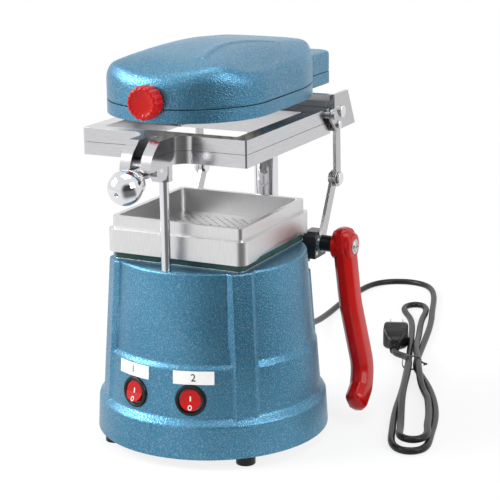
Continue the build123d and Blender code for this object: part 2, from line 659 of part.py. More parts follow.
def perforated_plate():
    """Thin plate with staggered air holes."""
    half = TRAY_POCKET_HALF - SEAT_FIT
    outline = RectangleRounded(2 * half, 2 * half, 3)
    count = 11
    holes = []
    for row in range(2 * count - 1):
        shift = HOLE_PITCH / 2 if row % 2 else 0
        for column in range(count - row % 2):
            x = (column - (count - 1) / 2) * HOLE_PITCH + shift
            y = (row - count + 1) * HOLE_PITCH / 2
            if min(hypot(x - sx, y - sy) for sx, sy in plate_screw_places()) > 5:
                holes.append(Pos(x, y) * Circle(HOLE_RADIUS))
    outline -= holes
    plate = extrude(Pos(0, 0, PERFORATED_BOTTOM) * outline, amount=PERFORATED_THICKNESS, dir=(0, 0, 1))
    for x, y in plate_screw_places():
        plate -= plate_screw(x, y, SEAT_FIT)
    return plate


def plate_screws():
    """Screws that hold the perforated plate."""
    return [plate_screw(x, y, 0) for x, y in plate_screw_places()]


# ---------------------------------------------------------------- rear bridge and column
def rear_bridge():
    """Casting behind the body: two arms for the bearings and the column's socket."""
    points = [
        (RIGHT_ARM_END, 66.0),
        (RIGHT_ARM_END, 82.0),
        (46.0, 92.0),
        (SOCKET_RADIUS, 112.0),
        (-SOCKET_RADIUS, 112.0),
        (-42.0, 94.0),
        (-LEFT_ARM_END, 84.0),
        (-LEFT_ARM_END, 66.0),
    ]
    plate = extrude(Pos(0, 0, BRIDGE_BOTTOM) * make_face(Polyline(*points, close=True)),
                    amount=BRIDGE_TOP - BRIDGE_BOTTOM, dir=(0, 0, 1))
    for x0, x1 in ((RIGHT_ARM_END - 8, RIGHT_ARM_END), (-LEFT_ARM_END, -LEFT_ARM_END + 8)):
        plate += block(x0, x1, BLOCK_FRONT, BLOCK_REAR - 4, BRIDGE_TOP - 1, BLOCK_TOP - 3)
    plate -= disc(BRIDGE_INNER_RADIUS, BRIDGE_BOTTOM, BLOCK_TOP)
    plate -= cross_bar(SHAFT_RADIUS + 1.0, -60, 60, SHAFT_Y, SHAFT_Z)
    plate += disc(SOCKET_RADIUS, SOCKET_BOTTOM, SOCKET_TOP, 0, COLUMN_Y)
    plate += side_slab([(87.6, BRIDGE_BOTTOM), (COLUMN_Y, SOCKET_BOTTOM), (COLUMN_Y, BRIDGE_BOTTOM)], -4, 4)
    plate -= disc(COLUMN_RADIUS, COLUMN_FOOT, SOCKET_TOP, 0, COLUMN_Y)
    for angle in bridge_screw_places():
        plate -= bridge_screw(angle, SCREW_RADIUS)
    for screw in block_screws():
        plate -= screw
    return plate


def bridge_screws():
    """Screws from inside the body into the bridge."""
    screws = []
    for angle in bridge_screw_places():
        inner = cone_radius(BRIDGE_BOTTOM) - BASE_WALL - 0.6
        z = BRIDGE_BOTTOM + 4.2
        head = bar(((inner - 2.4) * cos(angle), (inner - 2.4) * sin(angle), z),
                   (inner * cos(angle), inner * sin(angle), z), 3.6)
        stem = bar((inner * cos(angle), inner * sin(angle), z),
                   (89.0 * cos(angle), 89.0 * sin(angle), z), SCREW_RADIUS)
        screws.append(head + stem)
    return screws


def column():
    """Polished column that guides the carriage and carries the heater head."""
    return disc(COLUMN_RADIUS, COLUMN_FOOT, COLUMN_TOP, 0, COLUMN_Y)


def block_screw_places():
    """Places of the two screws in each bearing block, as (y, z)."""
    return [(BLOCK_FRONT + 4.2, BLOCK_BOTTOM + 4.4), (BLOCK_REAR - 5.8, BLOCK_BOTTOM + 4.4)]


def block_screws():
    """Flush screws that hold both bearing blocks to the bridge's arms."""
    screws = []
    for y, z in block_screw_places():
        screws.append(cross_bar(BLOCK_SCREW_RADIUS, RIGHT_ARM_END - ARM_GRIP, BLOCK_RIGHT, y, z))
        screws.append(cross_bar(BLOCK_SCREW_RADIUS, BLOCK_LEFT, -LEFT_ARM_END + ARM_GRIP, y, z))
    return screws


def bearing_block(inner, outer):
    """Pillow block bolted to one arm of the bridge."""
    x0, x1 = min(inner, outer), max(inner, outer)
    body = side_slab([(BLOCK_FRONT, BLOCK_BOTTOM), (BLOCK_REAR, BLOCK_BOTTOM), (BLOCK_REAR, BLOCK_TOP - 4),
                      (BLOCK_REAR - 4, BLOCK_TOP), (BLOCK_FRONT + 4, BLOCK_TOP), (BLOCK_FRONT, BLOCK_TOP - 4)],
                     x0, x1)
    body -= cross_bar(SHAFT_RADIUS + RUN_FIT + BUSH_WALL, x0 - 1, x1 + 1, SHAFT_Y, SHAFT_Z)
    for y, z in block_screw_places():
        body -= cross_bar(BLOCK_SCREW_RADIUS, x0 - 1, x1 + 1, y, z)
    return body


def bearing_bushes():
    """Bushes in the two bearing blocks."""
    bushes = []
    for x0, x1 in ((RIGHT_ARM_END, BLOCK_RIGHT), (BLOCK_LEFT, -LEFT_ARM_END)):
        sleeve = cross_bar(SHAFT_RADIUS + RUN_FIT + BUSH_WALL, x0, x1, SHAFT_Y, SHAFT_Z)
        bushes.append(sleeve - cross_bar(SHAFT_RADIUS + RUN_FIT, x0 - 1, x1 + 1, SHAFT_Y, SHAFT_Z))
    return bushes


def rod_bush():
    """Bush in the deck's boss that guides the front rod."""
    return tube(ROD_BUSH_RADIUS, ROD_RADIUS + RUN_FIT, ROD_BUSH_BOTTOM, ROD_BUSH_TOP, 0, ROD_Y)


# ---------------------------------------------------------------- clamp frame and carriage
def framed(bottom, top, half, front, rear):
    """Flat bar frame around an opening."""
    outer = rounded_block(-FRAME_HALF, FRAME_HALF, FRAME_FRONT, FRAME_REAR, bottom, top, FRAME_CORNER)
    return outer - rounded_block(-half, half, front, rear, bottom, top, OPENING_CORNER)


def lug_body(half):
    """Clamp lug in front of the frame, both halves in one, with flared roots."""
    lean = radians(CLAMP_CLOSED_LEAN)
    outward = (-sin(lean), cos(lean))
    seat = LUG_NOSE_RADIUS
    flat_y = BOLT_PIVOT_Y + (seat - (FRAME_TOP - BOLT_PIVOT_Z) * outward[1]) / outward[0]
    flat_start = (flat_y, FRAME_TOP)
    flat_end = (BOLT_PIVOT_Y + seat * outward[0], BOLT_PIVOT_Z + seat * outward[1])
    foot_y = BOLT_PIVOT_Y - sqrt(seat ** 2 - (FRAME_BOTTOM - BOLT_PIVOT_Z) ** 2)
    mid = radians(CLAMP_CLOSED_LEAN / 2 + 42)
    arc_mid = (BOLT_PIVOT_Y - seat * sin(mid), BOLT_PIVOT_Z + seat * cos(mid))
    edges = [
        Polyline((FRAME_FRONT + 1, FRAME_BOTTOM), (FRAME_FRONT + 1, FRAME_TOP), flat_start, flat_end),
        ThreePointArc(flat_end, arc_mid, (foot_y, FRAME_BOTTOM)),
        Line((foot_y, FRAME_BOTTOM), (FRAME_FRONT + 1, FRAME_BOTTOM)),
    ]
    lug = extrude(Plane.YZ.offset(-half) * make_face(edges), amount=2 * half)
    corner = (half, FRAME_FRONT)
    bow = LUG_FLARE * (1 - sqrt(0.5))
    flare_edges = [
        ThreePointArc((half, FRAME_FRONT - LUG_FLARE), (half + bow, FRAME_FRONT - bow),
                      (half + LUG_FLARE, FRAME_FRONT)),
        Line((half + LUG_FLARE, FRAME_FRONT), corner),
        Line(corner, (half, FRAME_FRONT - LUG_FLARE)),
    ]
    flare = extrude(Pos(0, 0, FRAME_BOTTOM) * make_face(flare_edges), amount=FRAME_TOP - FRAME_BOTTOM, dir=(0, 0, 1))
    lug += flare
    lug += mirrored_x(flare)
    slot = block(-SLOT_HALF, SLOT_HALF, -140, SLOT_BACK, FRAME_BOTTOM - 1, FRAME_TOP + 1)
    return lug - slot


def lower_frame():
    """Lower clamp frame with its lug, pivot cheeks and the front rod's boss."""
    top = FRAME_JOINT - FACE_GAP / 2
    frame = framed(FRAME_BOTTOM, top, LOWER_OPENING_HALF, LOWER_OPENING_FRONT, LOWER_OPENING_REAR)
    frame += lug_body(LUG_HALF) & block(-60, 60, -150, FRAME_FRONT + 0.5, FRAME_BOTTOM - 1, top)
    cheek = side_slab([(CHEEK_REAR, FRAME_BOTTOM), (CHEEK_FRONT, FRAME_BOTTOM), (CHEEK_FRONT, CHEEK_BOTTOM + 5),
                       (CHEEK_FRONT + 4, CHEEK_BOTTOM), (CHEEK_REAR - 3, CHEEK_BOTTOM), (CHEEK_REAR, CHEEK_BOTTOM + 4)],
                      SLOT_HALF, CHEEK_HALF)
    frame += cheek
    frame += mirrored_x(cheek)
    frame += disc(ROD_BOSS_RADIUS, ROD_BOSS_BOTTOM, FRAME_BOTTOM, 0, ROD_Y)
    frame -= disc(ROD_RADIUS, ROD_BOSS_BOTTOM, ROD_TOP, 0, ROD_Y)
    frame -= cross_bar(BOLT_PIN_RADIUS, -20, 20, BOLT_PIVOT_Y, BOLT_PIVOT_Z)
    for x in (-40, 40):
        frame -= bar((x, FRAME_REAR - 10, BRACKET_SCREW_Z), (x, FRAME_REAR + 1, BRACKET_SCREW_Z), SCREW_RADIUS)
    return frame


def upper_frame():
    """Upper clamp frame, hinged at the rear."""
    bottom = FRAME_JOINT + FACE_GAP / 2
    frame = framed(bottom, FRAME_TOP, UPPER_OPENING_HALF, LOWER_OPENING_FRONT, UPPER_OPENING_REAR)
    frame += lug_body(LUG_HALF) & block(-60, 60, -150, FRAME_FRONT + 0.5, bottom, FRAME_TOP + 1)
    for side in (-1, 1):
        x = side * FRAME_HALF
        frame -= cross_bar(SCREW_RADIUS, min(x, x - side * 9), max(x, x - side * 9), HINGE_SCREW_Y, HINGE_SCREW_Z)
    return frame


def hinge_plate(side):
    """Oval plate with a spacer boss, screwed to the upper frame's side."""
    x0 = side * HINGE_PLATE_X
    x1 = x0 + side * HINGE_PLATE_THICKNESS
    low, high = min(x0, x1), max(x0, x1)
    run = Vector(HINGE_SCREW_Y - TILT_Y, HINGE_SCREW_Z - TILT_Z)
    tilt = degrees(atan2(run.Y, run.X))
    oval = Pos((TILT_Y + HINGE_SCREW_Y) / 2, (TILT_Z + HINGE_SCREW_Z) / 2) * Rot(0, 0, tilt) * \
        SlotCenterToCenter(run.length, 2 * HINGE_PLATE_RADIUS)
    plate = extrude(Plane.YZ.offset(low) * oval, amount=high - low)
    spacer_end = side * FRAME_HALF
    plate += cross_bar(3.2, min(spacer_end, x0), max(spacer_end, x0), HINGE_SCREW_Y, HINGE_SCREW_Z)
    plate -= cross_bar(SCREW_RADIUS, min(spacer_end, x1) - 1, max(spacer_end, x1) + 1, HINGE_SCREW_Y, HINGE_SCREW_Z)
    plate -= cross_bar(SCREW_RADIUS + RUN_FIT, low - 1, high + 1, TILT_Y, TILT_Z)
    return plate


def side_screw(side, start, end, head_start, y, z):
    """Pan-head screw along X, its head outward."""
    stem = cross_bar(SCREW_RADIUS, min(side * start, side * end), max(side * start, side * end), y, z)
    head = cross_bar(3.6, min(side * head_start, side * (head_start + 1.8)),
                     max(side * head_start, side * (head_start + 1.8)), y, z)
    return stem + head


def hinge_screws():
    """Screws that fix the hinge plates to the upper frame."""
    outer = HINGE_PLATE_X + HINGE_PLATE_THICKNESS
    return [side_screw(side, FRAME_HALF - 9, outer, outer, HINGE_SCREW_Y, HINGE_SCREW_Z) for side in (-1, 1)]


def tilt_pins():
    """Shoulder screws in the lift bracket on which the hinge plates turn."""
    outer = HINGE_PLATE_X + HINGE_PLATE_THICKNESS + FACE_GAP
    return [side_screw(side, PLATE_RIGHT, outer, outer, TILT_Y, TILT_Z) for side in (-1, 1)]


def bracket_side():
    """Outline of a side plate, as (y, z) points."""
    return [(BRACKET_FRONT, BRACKET_BOTTOM), (BRACKET_FRONT, BRACKET_TOP), (COLUMN_Y + 5.3, BRACKET_TOP),
            (COLUMN_Y + 21.8, BRACKET_BOTTOM + 0.3), (COLUMN_Y - 12.2, BRACKET_BOTTOM)]


def lift_bracket():
    """Bracket behind the frame: side plates, web, shelf and the column's boss."""
    plate = side_slab(bracket_side(), PLATE_RIGHT, PLATE_RIGHT + BRACKET_PLATE)
    bracket = plate + mirrored_x(plate)
    web_rear = WEB_FRONT + WEB_THICKNESS
    bracket += block(-PLATE_RIGHT, PLATE_RIGHT, WEB_FRONT, web_rear, BRACKET_BOTTOM, BRACKET_TOP)
    bracket += block(-FRAME_HALF + 4, FRAME_HALF - 4, FRAME_REAR, WEB_FRONT, BRACKET_BOTTOM, FRAME_JOINT - 1)
    bracket += block(-PLATE_RIGHT, PLATE_RIGHT, SHELF_FRONT, web_rear, SHELF_BOTTOM, BRACKET_TOP)
    cheek = side_slab([(web_rear - 1, BRACKET_BOTTOM + 4), (web_rear - 1, BRACKET_TOP), (COLUMN_Y, BRACKET_TOP),
                       (COLUMN_Y, BRACKET_BOTTOM + 3.2), (COLUMN_Y - 12, BRACKET_BOTTOM + 4)], CHEEK_LEFT - BAR_THICKNESS, CHEEK_LEFT)
    bracket += cheek
    bracket += disc(BRACKET_BOSS_RADIUS, BRACKET_BOSS_BOTTOM, BRACKET_BOSS_TOP, 0, COLUMN_Y)
    bracket += block(-12, 12, web_rear - 1, COLUMN_Y, BRACKET_BOTTOM, BRACKET_TOP - 3)
    bracket -= disc(COLUMN_RADIUS + RUN_FIT + SLIDE_BUSH_WALL, BRACKET_BOSS_BOTTOM - 1, BRACKET_TOP + 1, 0, COLUMN_Y)
    bracket -= cross_bar(TOGGLE_PIN_RADIUS, -90, CHEEK_LEFT + 1, WRIST_Y, WRIST_Z)
    bracket -= cross_bar(TOGGLE_PIN_RADIUS, PLATE_RIGHT - 1, 90, WRIST_Y, WRIST_Z)
    for side in (-1, 1):
        bracket -= cross_bar(SCREW_RADIUS, min(side * PLATE_RIGHT, side * 80), max(side * PLATE_RIGHT, side * 80),
                             TILT_Y, TILT_Z)
    for x in (-40, 40):
        bracket -= bar((x, FRAME_REAR - 1, BRACKET_SCREW_Z), (x, web_rear + 1, BRACKET_SCREW_Z), SCREW_RADIUS)
    return bracket


def bracket_screws():
    """Screws that hold the lift bracket to the lower frame."""
    web_rear = WEB_FRONT + WEB_THICKNESS
    return [bar((x, FRAME_REAR - 10, BRACKET_SCREW_Z), (x, web_rear, BRACKET_SCREW_Z), SCREW_RADIUS)
            + bar((x, web_rear, BRACKET_SCREW_Z), (x, web_rear + 2, BRACKET_SCREW_Z), 3.6) for x in (-40, 40)]


def slide_bush():
    """Bush in the bracket's boss that runs on the column."""
    return tube(COLUMN_RADIUS + RUN_FIT + SLIDE_BUSH_WALL, COLUMN_RADIUS + RUN_FIT,
                BRACKET_BOSS_BOTTOM, BRACKET_BOSS_TOP, 0, COLUMN_Y)


def wrist_pins():
    """Headed pins in the bracket at the upper ends of the links."""
    head_start = PLATE_RIGHT + BRACKET_PLATE
    pins = []
    for side, inner in ((1, PLATE_RIGHT), (-1, -CHEEK_LEFT)):
        stem = cross_bar(TOGGLE_PIN_RADIUS, min(side * inner, side * head_start),
                         max(side * inner, side * head_start), WRIST_Y, WRIST_Z)
        head = cross_bar(PIN_HEAD_RADIUS, min(side * head_start, side * (head_start + PIN_HEAD_HEIGHT)),
                         max(side * head_start, side * (head_start + PIN_HEAD_HEIGHT)), WRIST_Y, WRIST_Z)
        pins.append(stem + head)
    return pins


def guide_rod():
    """Front rod that keeps the frame square as it slides in the deck."""
    return disc(ROD_RADIUS, ROD_REST_FOOT, ROD_TOP, 0, ROD_Y)


def bolt_pivot_pin():
    """Pin across the cheeks on which the swing bolt turns."""
    return cross_bar(BOLT_PIN_RADIUS, -CHEEK_HALF, CHEEK_HALF, BOLT_PIVOT_Y, BOLT_PIVOT_Z)


# ---------------------------------------------------------------- swing bolt and its knob
def bolt_point(distance):
    """Point on the swing bolt's axis, at rest, this far from its pivot."""
    drop = radians(BOLT_REST_DROP)
    return (0, BOLT_PIVOT_Y - distance * cos(drop), BOLT_PIVOT_Z - distance * sin(drop))


def swing_bolt():
    """Eye bolt that swings up through the slots of both lugs."""
    eye = cross_bar(BOLT_EYE_RADIUS, -SLOT_HALF + FACE_GAP, SLOT_HALF - FACE_GAP, BOLT_PIVOT_Y, BOLT_PIVOT_Z)
    shank = bar(bolt_point(4), bolt_point(BALL_OFFSET - 2), BOLT_SHANK_RADIUS - RUN_FIT)
    bolt = eye + shank
    return bolt - cross_bar(BOLT_PIN_RADIUS + RUN_FIT, -10, 10, BOLT_PIVOT_Y, BOLT_PIVOT_Z)


def clamp_knob():
    """Polished ball knob with its collar, screwed on the swing bolt."""
    collar = bar(bolt_point(KNOB_START), bolt_point(KNOB_START + COLLAR_LENGTH), COLLAR_RADIUS)
    ball = Pos(*bolt_point(BALL_OFFSET)) * Sphere(BALL_RADIUS)
    bore = bar(bolt_point(KNOB_START - 2), bolt_point(BALL_OFFSET - 1.5), BOLT_SHANK_RADIUS)
    return collar + ball - bore


# ---------------------------------------------------------------- lift linkage and lever
def eye_bar(x0, x1, start, end, holes):
    """Flat bar with a round eye at each end; holes lists (place, radius)."""
    run = Vector(end[0] - start[0], end[1] - start[1])
    turn = degrees(atan2(run.Y, run.X))
    middle = ((start[0] + end[0]) / 2, (start[1] + end[1]) / 2)
    outline = Pos(*middle) * Rot(0, 0, turn) * Rectangle(run.length, 2 * BAR_HALF_WIDTH)
    for place in (start, end):
        outline += Pos(*place) * Circle(EYE_RADIUS)
    for place, radius in holes:
        outline -= Pos(*place) * Circle(radius)
    return extrude(Plane.YZ.offset(min(x0, x1)) * outline, amount=abs(x1 - x0))


SHAFT_PLACE = (SHAFT_Y, SHAFT_Z)
TOGGLE_PLACE = (TOGGLE_Y, TOGGLE_Z)
WRIST_PLACE = (WRIST_Y, WRIST_Z)


def crank(x0, x1):
    """Crank fixed on the lever shaft."""
    return eye_bar(x0, x1, SHAFT_PLACE, TOGGLE_PLACE, [(SHAFT_PLACE, SHAFT_RADIUS), (TOGGLE_PLACE, TOGGLE_PIN_RADIUS)])


def link(x0, x1):
    """Link from the crank's pin up to the lift bracket."""
    return eye_bar(x0, x1, TOGGLE_PLACE, WRIST_PLACE,
                   [(TOGGLE_PLACE, TOGGLE_PIN_RADIUS + RUN_FIT), (WRIST_PLACE, TOGGLE_PIN_RADIUS + RUN_FIT)])


def toggle_pins():
    """Headed pins that join each crank to its link."""
    pins = []
    for side, near, far in ((1, CRANK_RIGHT, LINK_RIGHT + BAR_THICKNESS), (-1, -CRANK_LEFT, -LINK_LEFT + BAR_THICKNESS)):
        stem = cross_bar(TOGGLE_PIN_RADIUS, min(side * near, side * far), max(side * near, side * far), *TOGGLE_PLACE)
        inner = cross_bar(PIN_HEAD_RADIUS, min(side * (near - 2), side * near), max(side * (near - 2), side * near),
                          *TOGGLE_PLACE)
        start = far + FACE_GAP
        outer = cross_bar(PIN_HEAD_RADIUS, min(side * start, side * (start + PIN_HEAD_HEIGHT)),
                          max(side * start, side * (start + PIN_HEAD_HEIGHT)), *TOGGLE_PLACE)
        neck = cross_bar(TOGGLE_PIN_RADIUS, min(side * far, side * start), max(side * far, side * start), *TOGGLE_PLACE)
        pins.append(stem + inner + outer + neck)
    return pins


def lever_shaft():
    """Cross shaft from the left crank to the lever handle."""
    return cross_bar(SHAFT_RADIUS, CRANK_LEFT - BAR_THICKNESS - 1.0, GRIP_OUTER_X - 3.5, SHAFT_Y, SHAFT_Z)


def hub_spacer():
    """Black sleeve on the shaft between the right crank and the handle."""
    start = CRANK_RIGHT + BAR_THICKNESS
    sleeve = cross_bar(HUB_RADIUS, start, HUB_END, SHAFT_Y, SHAFT_Z)
    return sleeve - cross_bar(SHAFT_RADIUS, start - 1, HUB_END + 1, SHAFT_Y, SHAFT_Z)


def grip_plane():
    """Plane of the lever's blade: x to the rear, y down along the canted blade."""
    cant = radians(GRIP_CANT)
    return Plane(origin=(GRIP_START_X, SHAFT_Y, SHAFT_Z), x_dir=(0, 1, 0), z_dir=(-cos(cant), 0, -sin(cant)))


def lever_handle():
    """Moulded red lever with a curved blade and a hub on the shaft."""
    plane = grip_plane()
    points = [(0, -16), (-1, 52), (11, 114), (2.5, 131.5), (-16, 143.5)]
    line = FilletPolyline(*points, radius=[90, 30, 12])
    path = plane * line
    section = Plane(origin=plane.from_local_coords(Vector(0, -16, 0)), x_dir=(0, 1, 0),
                    z_dir=plane.y_dir) * RectangleRounded(GRIP_WIDTH, GRIP_THICKNESS, GRIP_CORNER)
    blade = sweep(section, path=path)
    hub = cross_bar(GRIP_BOSS_RADIUS, HUB_END, GRIP_OUTER_X, SHAFT_Y, SHAFT_Z)
    handle = blade + hub
    handle -= cross_bar(SHAFT_RADIUS, HUB_END - 2, GRIP_OUTER_X - 3.5, SHAFT_Y, SHAFT_Z)
    handle -= cross_bar(SCREW_RADIUS, GRIP_OUTER_X - 5, GRIP_OUTER_X + 2, SHAFT_Y, SHAFT_Z)
    return handle


def handle_screw():
    """Screw and washer that hold the handle on the shaft."""
    head = cross_bar(6.5, GRIP_OUTER_X, GRIP_OUTER_X + 2.4, SHAFT_Y, SHAFT_Z)
    return head + cross_bar(SCREW_RADIUS, GRIP_OUTER_X - 3.5, GRIP_OUTER_X, SHAFT_Y, SHAFT_Z)


# ---------------------------------------------------------------- heater head
def head_outline(inset):
    """Egg-shaped plan of the head, moved inward by a wall."""
    front = HEAD_RADIUS - inset
    flank = (HEAD_FLANK[0] - inset, HEAD_FLANK[1])
    heel = (HEAD_HEEL[0] - inset, HEAD_HEEL[1])
    corner = (HEAD_REAR_CORNER[0] - inset / 2, HEAD_REAR_CORNER[1] - inset)
    nose = ThreePointArc((-front, HEAD_CENTRE_Y), (0, HEAD_CENTRE_Y - front), (front, HEAD_CENTRE_Y))
    upper = TangentArc((front, HEAD_CENTRE_Y), flank, tangent=(0, 1))
    lower = TangentArc(flank, heel, tangent=upper % 1)
    turn = TangentArc(heel, corner, tangent=lower % 1)
    side = [upper, lower, turn]
    rear = Line(corner, (-corner[0], corner[1]))
    return make_face([nose, *side, rear, *[mirror(edge, about=Plane.YZ) for edge in side]])


def crown_across(inset):
    """Front view of the crown, as a slab along the whole head."""
    half = HEAD_RADIUS + CROWN_OVERSIZE - inset
    right = [(half, HEAD_SEAM)] + [(half - x, HEAD_SEAM + z - inset) for x, z in CROWN_FRONT_VIEW]
    points = right + [(-x, z) for x, z in reversed(right)]
    reach = 2 * TAB_REAR
    outline = Plane.XZ.offset(reach) * make_face(Polyline(*points, close=True))
    return extrude(outline, amount=-2 * reach)


def crown_along(inset):
    """Side view of the crown, as a slab across the whole head."""
    front = HEAD_CENTRE_Y - HEAD_RADIUS + inset
    rear = HEAD_REAR_CORNER[1] + CROWN_OVERSIZE - inset
    points = [(front, HEAD_SEAM)] + [(front + y, HEAD_SEAM + z - inset) for y, z in CROWN_SIDE_VIEW]
    points += [(rear, HEAD_SEAM + CROWN_REAR_HEIGHT - inset), (rear, HEAD_SEAM)]
    return side_slab(points, -2 * HEAD_RADIUS, 2 * HEAD_RADIUS)


def crown(inset):
    """Solid crown of the head: plan, front and side outlines in common."""
    height = max(z for _, z in CROWN_SIDE_VIEW) + CROWN_OVERSIZE
    prism = extrude(Pos(0, 0, HEAD_SEAM) * head_outline(inset), amount=height, dir=(0, 0, 1))
    return prism & crown_across(inset) & crown_along(inset)


def tab(inset, bottom, top):
    """Rear tab over the column."""
    half = TAB_HALF - inset
    return rounded_block(-half, half, COLUMN_Y - 32, TAB_REAR - inset, bottom, top, TAB_CORNER - inset)


def head_shell():
    """Thin cast cover of the heater head."""
    shell = crown(0) + tab(0, HEAD_SEAM, TAB_TOP)
    hollow = crown(HEAD_WALL) + tab(HEAD_WALL, HEAD_SEAM, TAB_TOP - HEAD_WALL)
    for x, y in shell_screw_places():
        hollow -= disc(SHELL_BOSS_RADIUS, HEAD_SEAM, HEAD_SEAM + 2 * TAB_HEIGHT + RING_HEIGHT, x, y)
    shell -= hollow
    shell -= bar((0, HEAD_CENTRE_Y - HEAD_RADIUS - 3, GRIP_KNOB_Z), (0, -80, GRIP_KNOB_Z), KNOB_STUD_RADIUS + SEAT_FIT)
    for x, y in shell_screw_places():
        shell -= disc(SCREW_RADIUS, HEAD_SEAM, SHELL_SCREW_TOP, x, y)
    return shell


def shell_screw_places():
    """Places of the screws that join the shell to the ring."""
    return [(-40.0, 137.0), (40.0, 137.0), (-64.0, 0.0), (64.0, 0.0)]


def head_ring():
    """Flat lower casting of the head, open below the heater."""
    outline = extrude(Pos(0, 0, HEAD_BOTTOM) * head_outline(RING_INSET), amount=HEAD_SEAM - HEAD_BOTTOM, dir=(0, 0, 1))
    ring = outline + tab(RING_INSET, HEAD_BOTTOM, HEAD_SEAM)
    inner = extrude(Pos(0, 0, HEAD_BOTTOM + 2.0) * head_outline(RING_INSET + HEAD_WALL), amount=30, dir=(0, 0, 1))
    ring -= inner + tab(RING_INSET + HEAD_WALL, HEAD_BOTTOM + 4.0, HEAD_SEAM + 1)
    ring -= disc(HEATER_RADIUS + 2, HEAD_BOTTOM - 1, HEAD_SEAM, 0, HEATER_Y)
    for x, y in shell_screw_places():
        ring += disc(SHELL_BOSS_RADIUS, HEAD_BOTTOM, HEAD_SEAM, x, y)
        ring -= disc(SCREW_RADIUS, HEAD_BOTTOM - 1, HEAD_SEAM + 1, x, y)
    ring -= disc(HUB_OUTER_RADIUS, HEAD_BOTTOM - 1, HEAD_SEAM + 1, 0, COLUMN_Y)
    return ring - disc(HUB_OUTER_RADIUS + HUB_FLANGE, HEAD_BOTTOM + 4.0, HEAD_SEAM + 1, 0, COLUMN_Y)


def shell_screws():
    """Screws from below through the ring into the shell."""
    return [disc(SCREW_RADIUS, HEAD_BOTTOM, SHELL_SCREW_TOP, x, y) for x, y in shell_screw_places()]


def pivot_hub():
    """Hub that turns on the column's top and carries the head."""
    hub = disc(HUB_OUTER_RADIUS, HEAD_BOTTOM, PIVOT_HUB_TOP, 0, COLUMN_Y)
    hub -= disc(COLUMN_RADIUS + RUN_FIT, HEAD_BOTTOM, COLUMN_TOP + FACE_GAP, 0, COLUMN_Y)
    return hub + tube(HUB_OUTER_RADIUS + HUB_FLANGE, HUB_OUTER_RADIUS, HEAD_BOTTOM + 4.0, HEAD_BOTTOM + 7.0, 0, COLUMN_Y)


def reflector_pan():
    """Bright pan above the heater, resting on the ring's ledge."""
    bottom = HEAD_BOTTOM + 2.0
    pan = disc(REFLECTOR_RADIUS, bottom, REFLECTOR_TOP, 0, HEATER_Y)
    pan -= disc(REFLECTOR_RADIUS - SHEET_METAL, bottom, REFLECTOR_TOP - SHEET_METAL, 0, HEATER_Y)
    return pan


def heater_plate():
    """Grooved ceramic disc that carries the heating wire, on a centre post."""
    plate = disc(HEATER_RADIUS, HEATER_BOTTOM, HEATER_TOP, 0, HEATER_Y)
    plate += disc(6, HEATER_TOP, REFLECTOR_TOP - SHEET_METAL, 0, HEATER_Y)
    for radius in coil_radii():
        plate -= Pos(0, HEATER_Y, HEATER_BOTTOM) * Torus(radius, 1.8)
    return plate


def coil_radii():
    """Radii of the heating wire's turns."""
    return [14.0, 24.0, 34.0, 44.0]


def heater_coil():
    """Turns of heating wire in the plate's grooves."""
    return [Pos(0, HEATER_Y, HEATER_BOTTOM) * Torus(radius, 1.5) for radius in coil_radii()]


def grip_knob():
    """Round fluted knob by which the head is swung aside."""
    knob = bar((0, GRIP_KNOB_BACK, GRIP_KNOB_Z), (0, GRIP_KNOB_FRONT, GRIP_KNOB_Z), GRIP_KNOB_RADIUS)
    for i in range(GRIP_KNOB_FLUTES):
        angle = 2 * pi * i / GRIP_KNOB_FLUTES
        x = (GRIP_KNOB_RADIUS + FLUTE_RIM) * cos(angle)
        z = GRIP_KNOB_Z + (GRIP_KNOB_RADIUS + FLUTE_RIM) * sin(angle)
        knob -= bar((x, GRIP_KNOB_BACK - 2, z), (x, GRIP_KNOB_FRONT - 1, z), FLUTE_RADIUS)
    end = GRIP_KNOB_FRONT + GRIP_KNOB_LENGTH - KNOB_STUD_SINK
    return knob - bar((0, GRIP_KNOB_BACK + 1, GRIP_KNOB_Z), (0, end, GRIP_KNOB_Z), KNOB_STUD_RADIUS)


def knob_stud():
    """Stud that holds the round knob to the head's front wall."""
    nut = HEAD_CENTRE_Y - HEAD_RADIUS + HEAD_WALL + KNOB_NUT_SETBACK
    end = GRIP_KNOB_FRONT + GRIP_KNOB_LENGTH - KNOB_STUD_SINK
    stem = bar((0, nut, GRIP_KNOB_Z), (0, end, GRIP_KNOB_Z), KNOB_STUD_RADIUS)
    return stem + bar((0, nut + KNOB_NUT_LENGTH, GRIP_KNOB_Z), (0, nut, GRIP_KNOB_Z), KNOB_NUT_RADIUS)


# ---------------------------------------------------------------- switches and labels
def switch_bezel(side):
    """Round switch body with its flange, open for the rocker."""
    seat = switch_plane(side)
    bezel = seat.offset(-SPOT_DEPTH) * Cylinder(BEZEL_RADIUS, SPOT_DEPTH + BEZEL_HEIGHT, align=BOTTOM_ALIGN)
    bezel += seat.offset(-SPOT_DEPTH - BARREL_LENGTH) * Cylinder(BARREL_RADIUS, BARREL_LENGTH, align=BOTTOM_ALIGN)
    bezel -= seat.offset(-9.0) * Cylinder(ROCKER_HOLE_RADIUS, 20, align=BOTTOM_ALIGN)
    pin = seat.offset(-1.2)
    for end in (-1, 1):
        stub = Plane(origin=pin.from_local_coords((end * (ROCKER_HOLE_RADIUS + 0.2), 0, 0)), z_dir=pin.x_dir * -end)
        bezel += stub * Cylinder(1.2, 2.0, align=BOTTOM_ALIGN)
    for blade in (-4, 0, 4):
        tab_plane = seat.offset(-SPOT_DEPTH - BARREL_LENGTH - 7)
        bezel += tab_plane * Pos(0, blade, 0) * Box(4.8, 0.8, 7.5, align=BOTTOM_ALIGN)
    return bezel


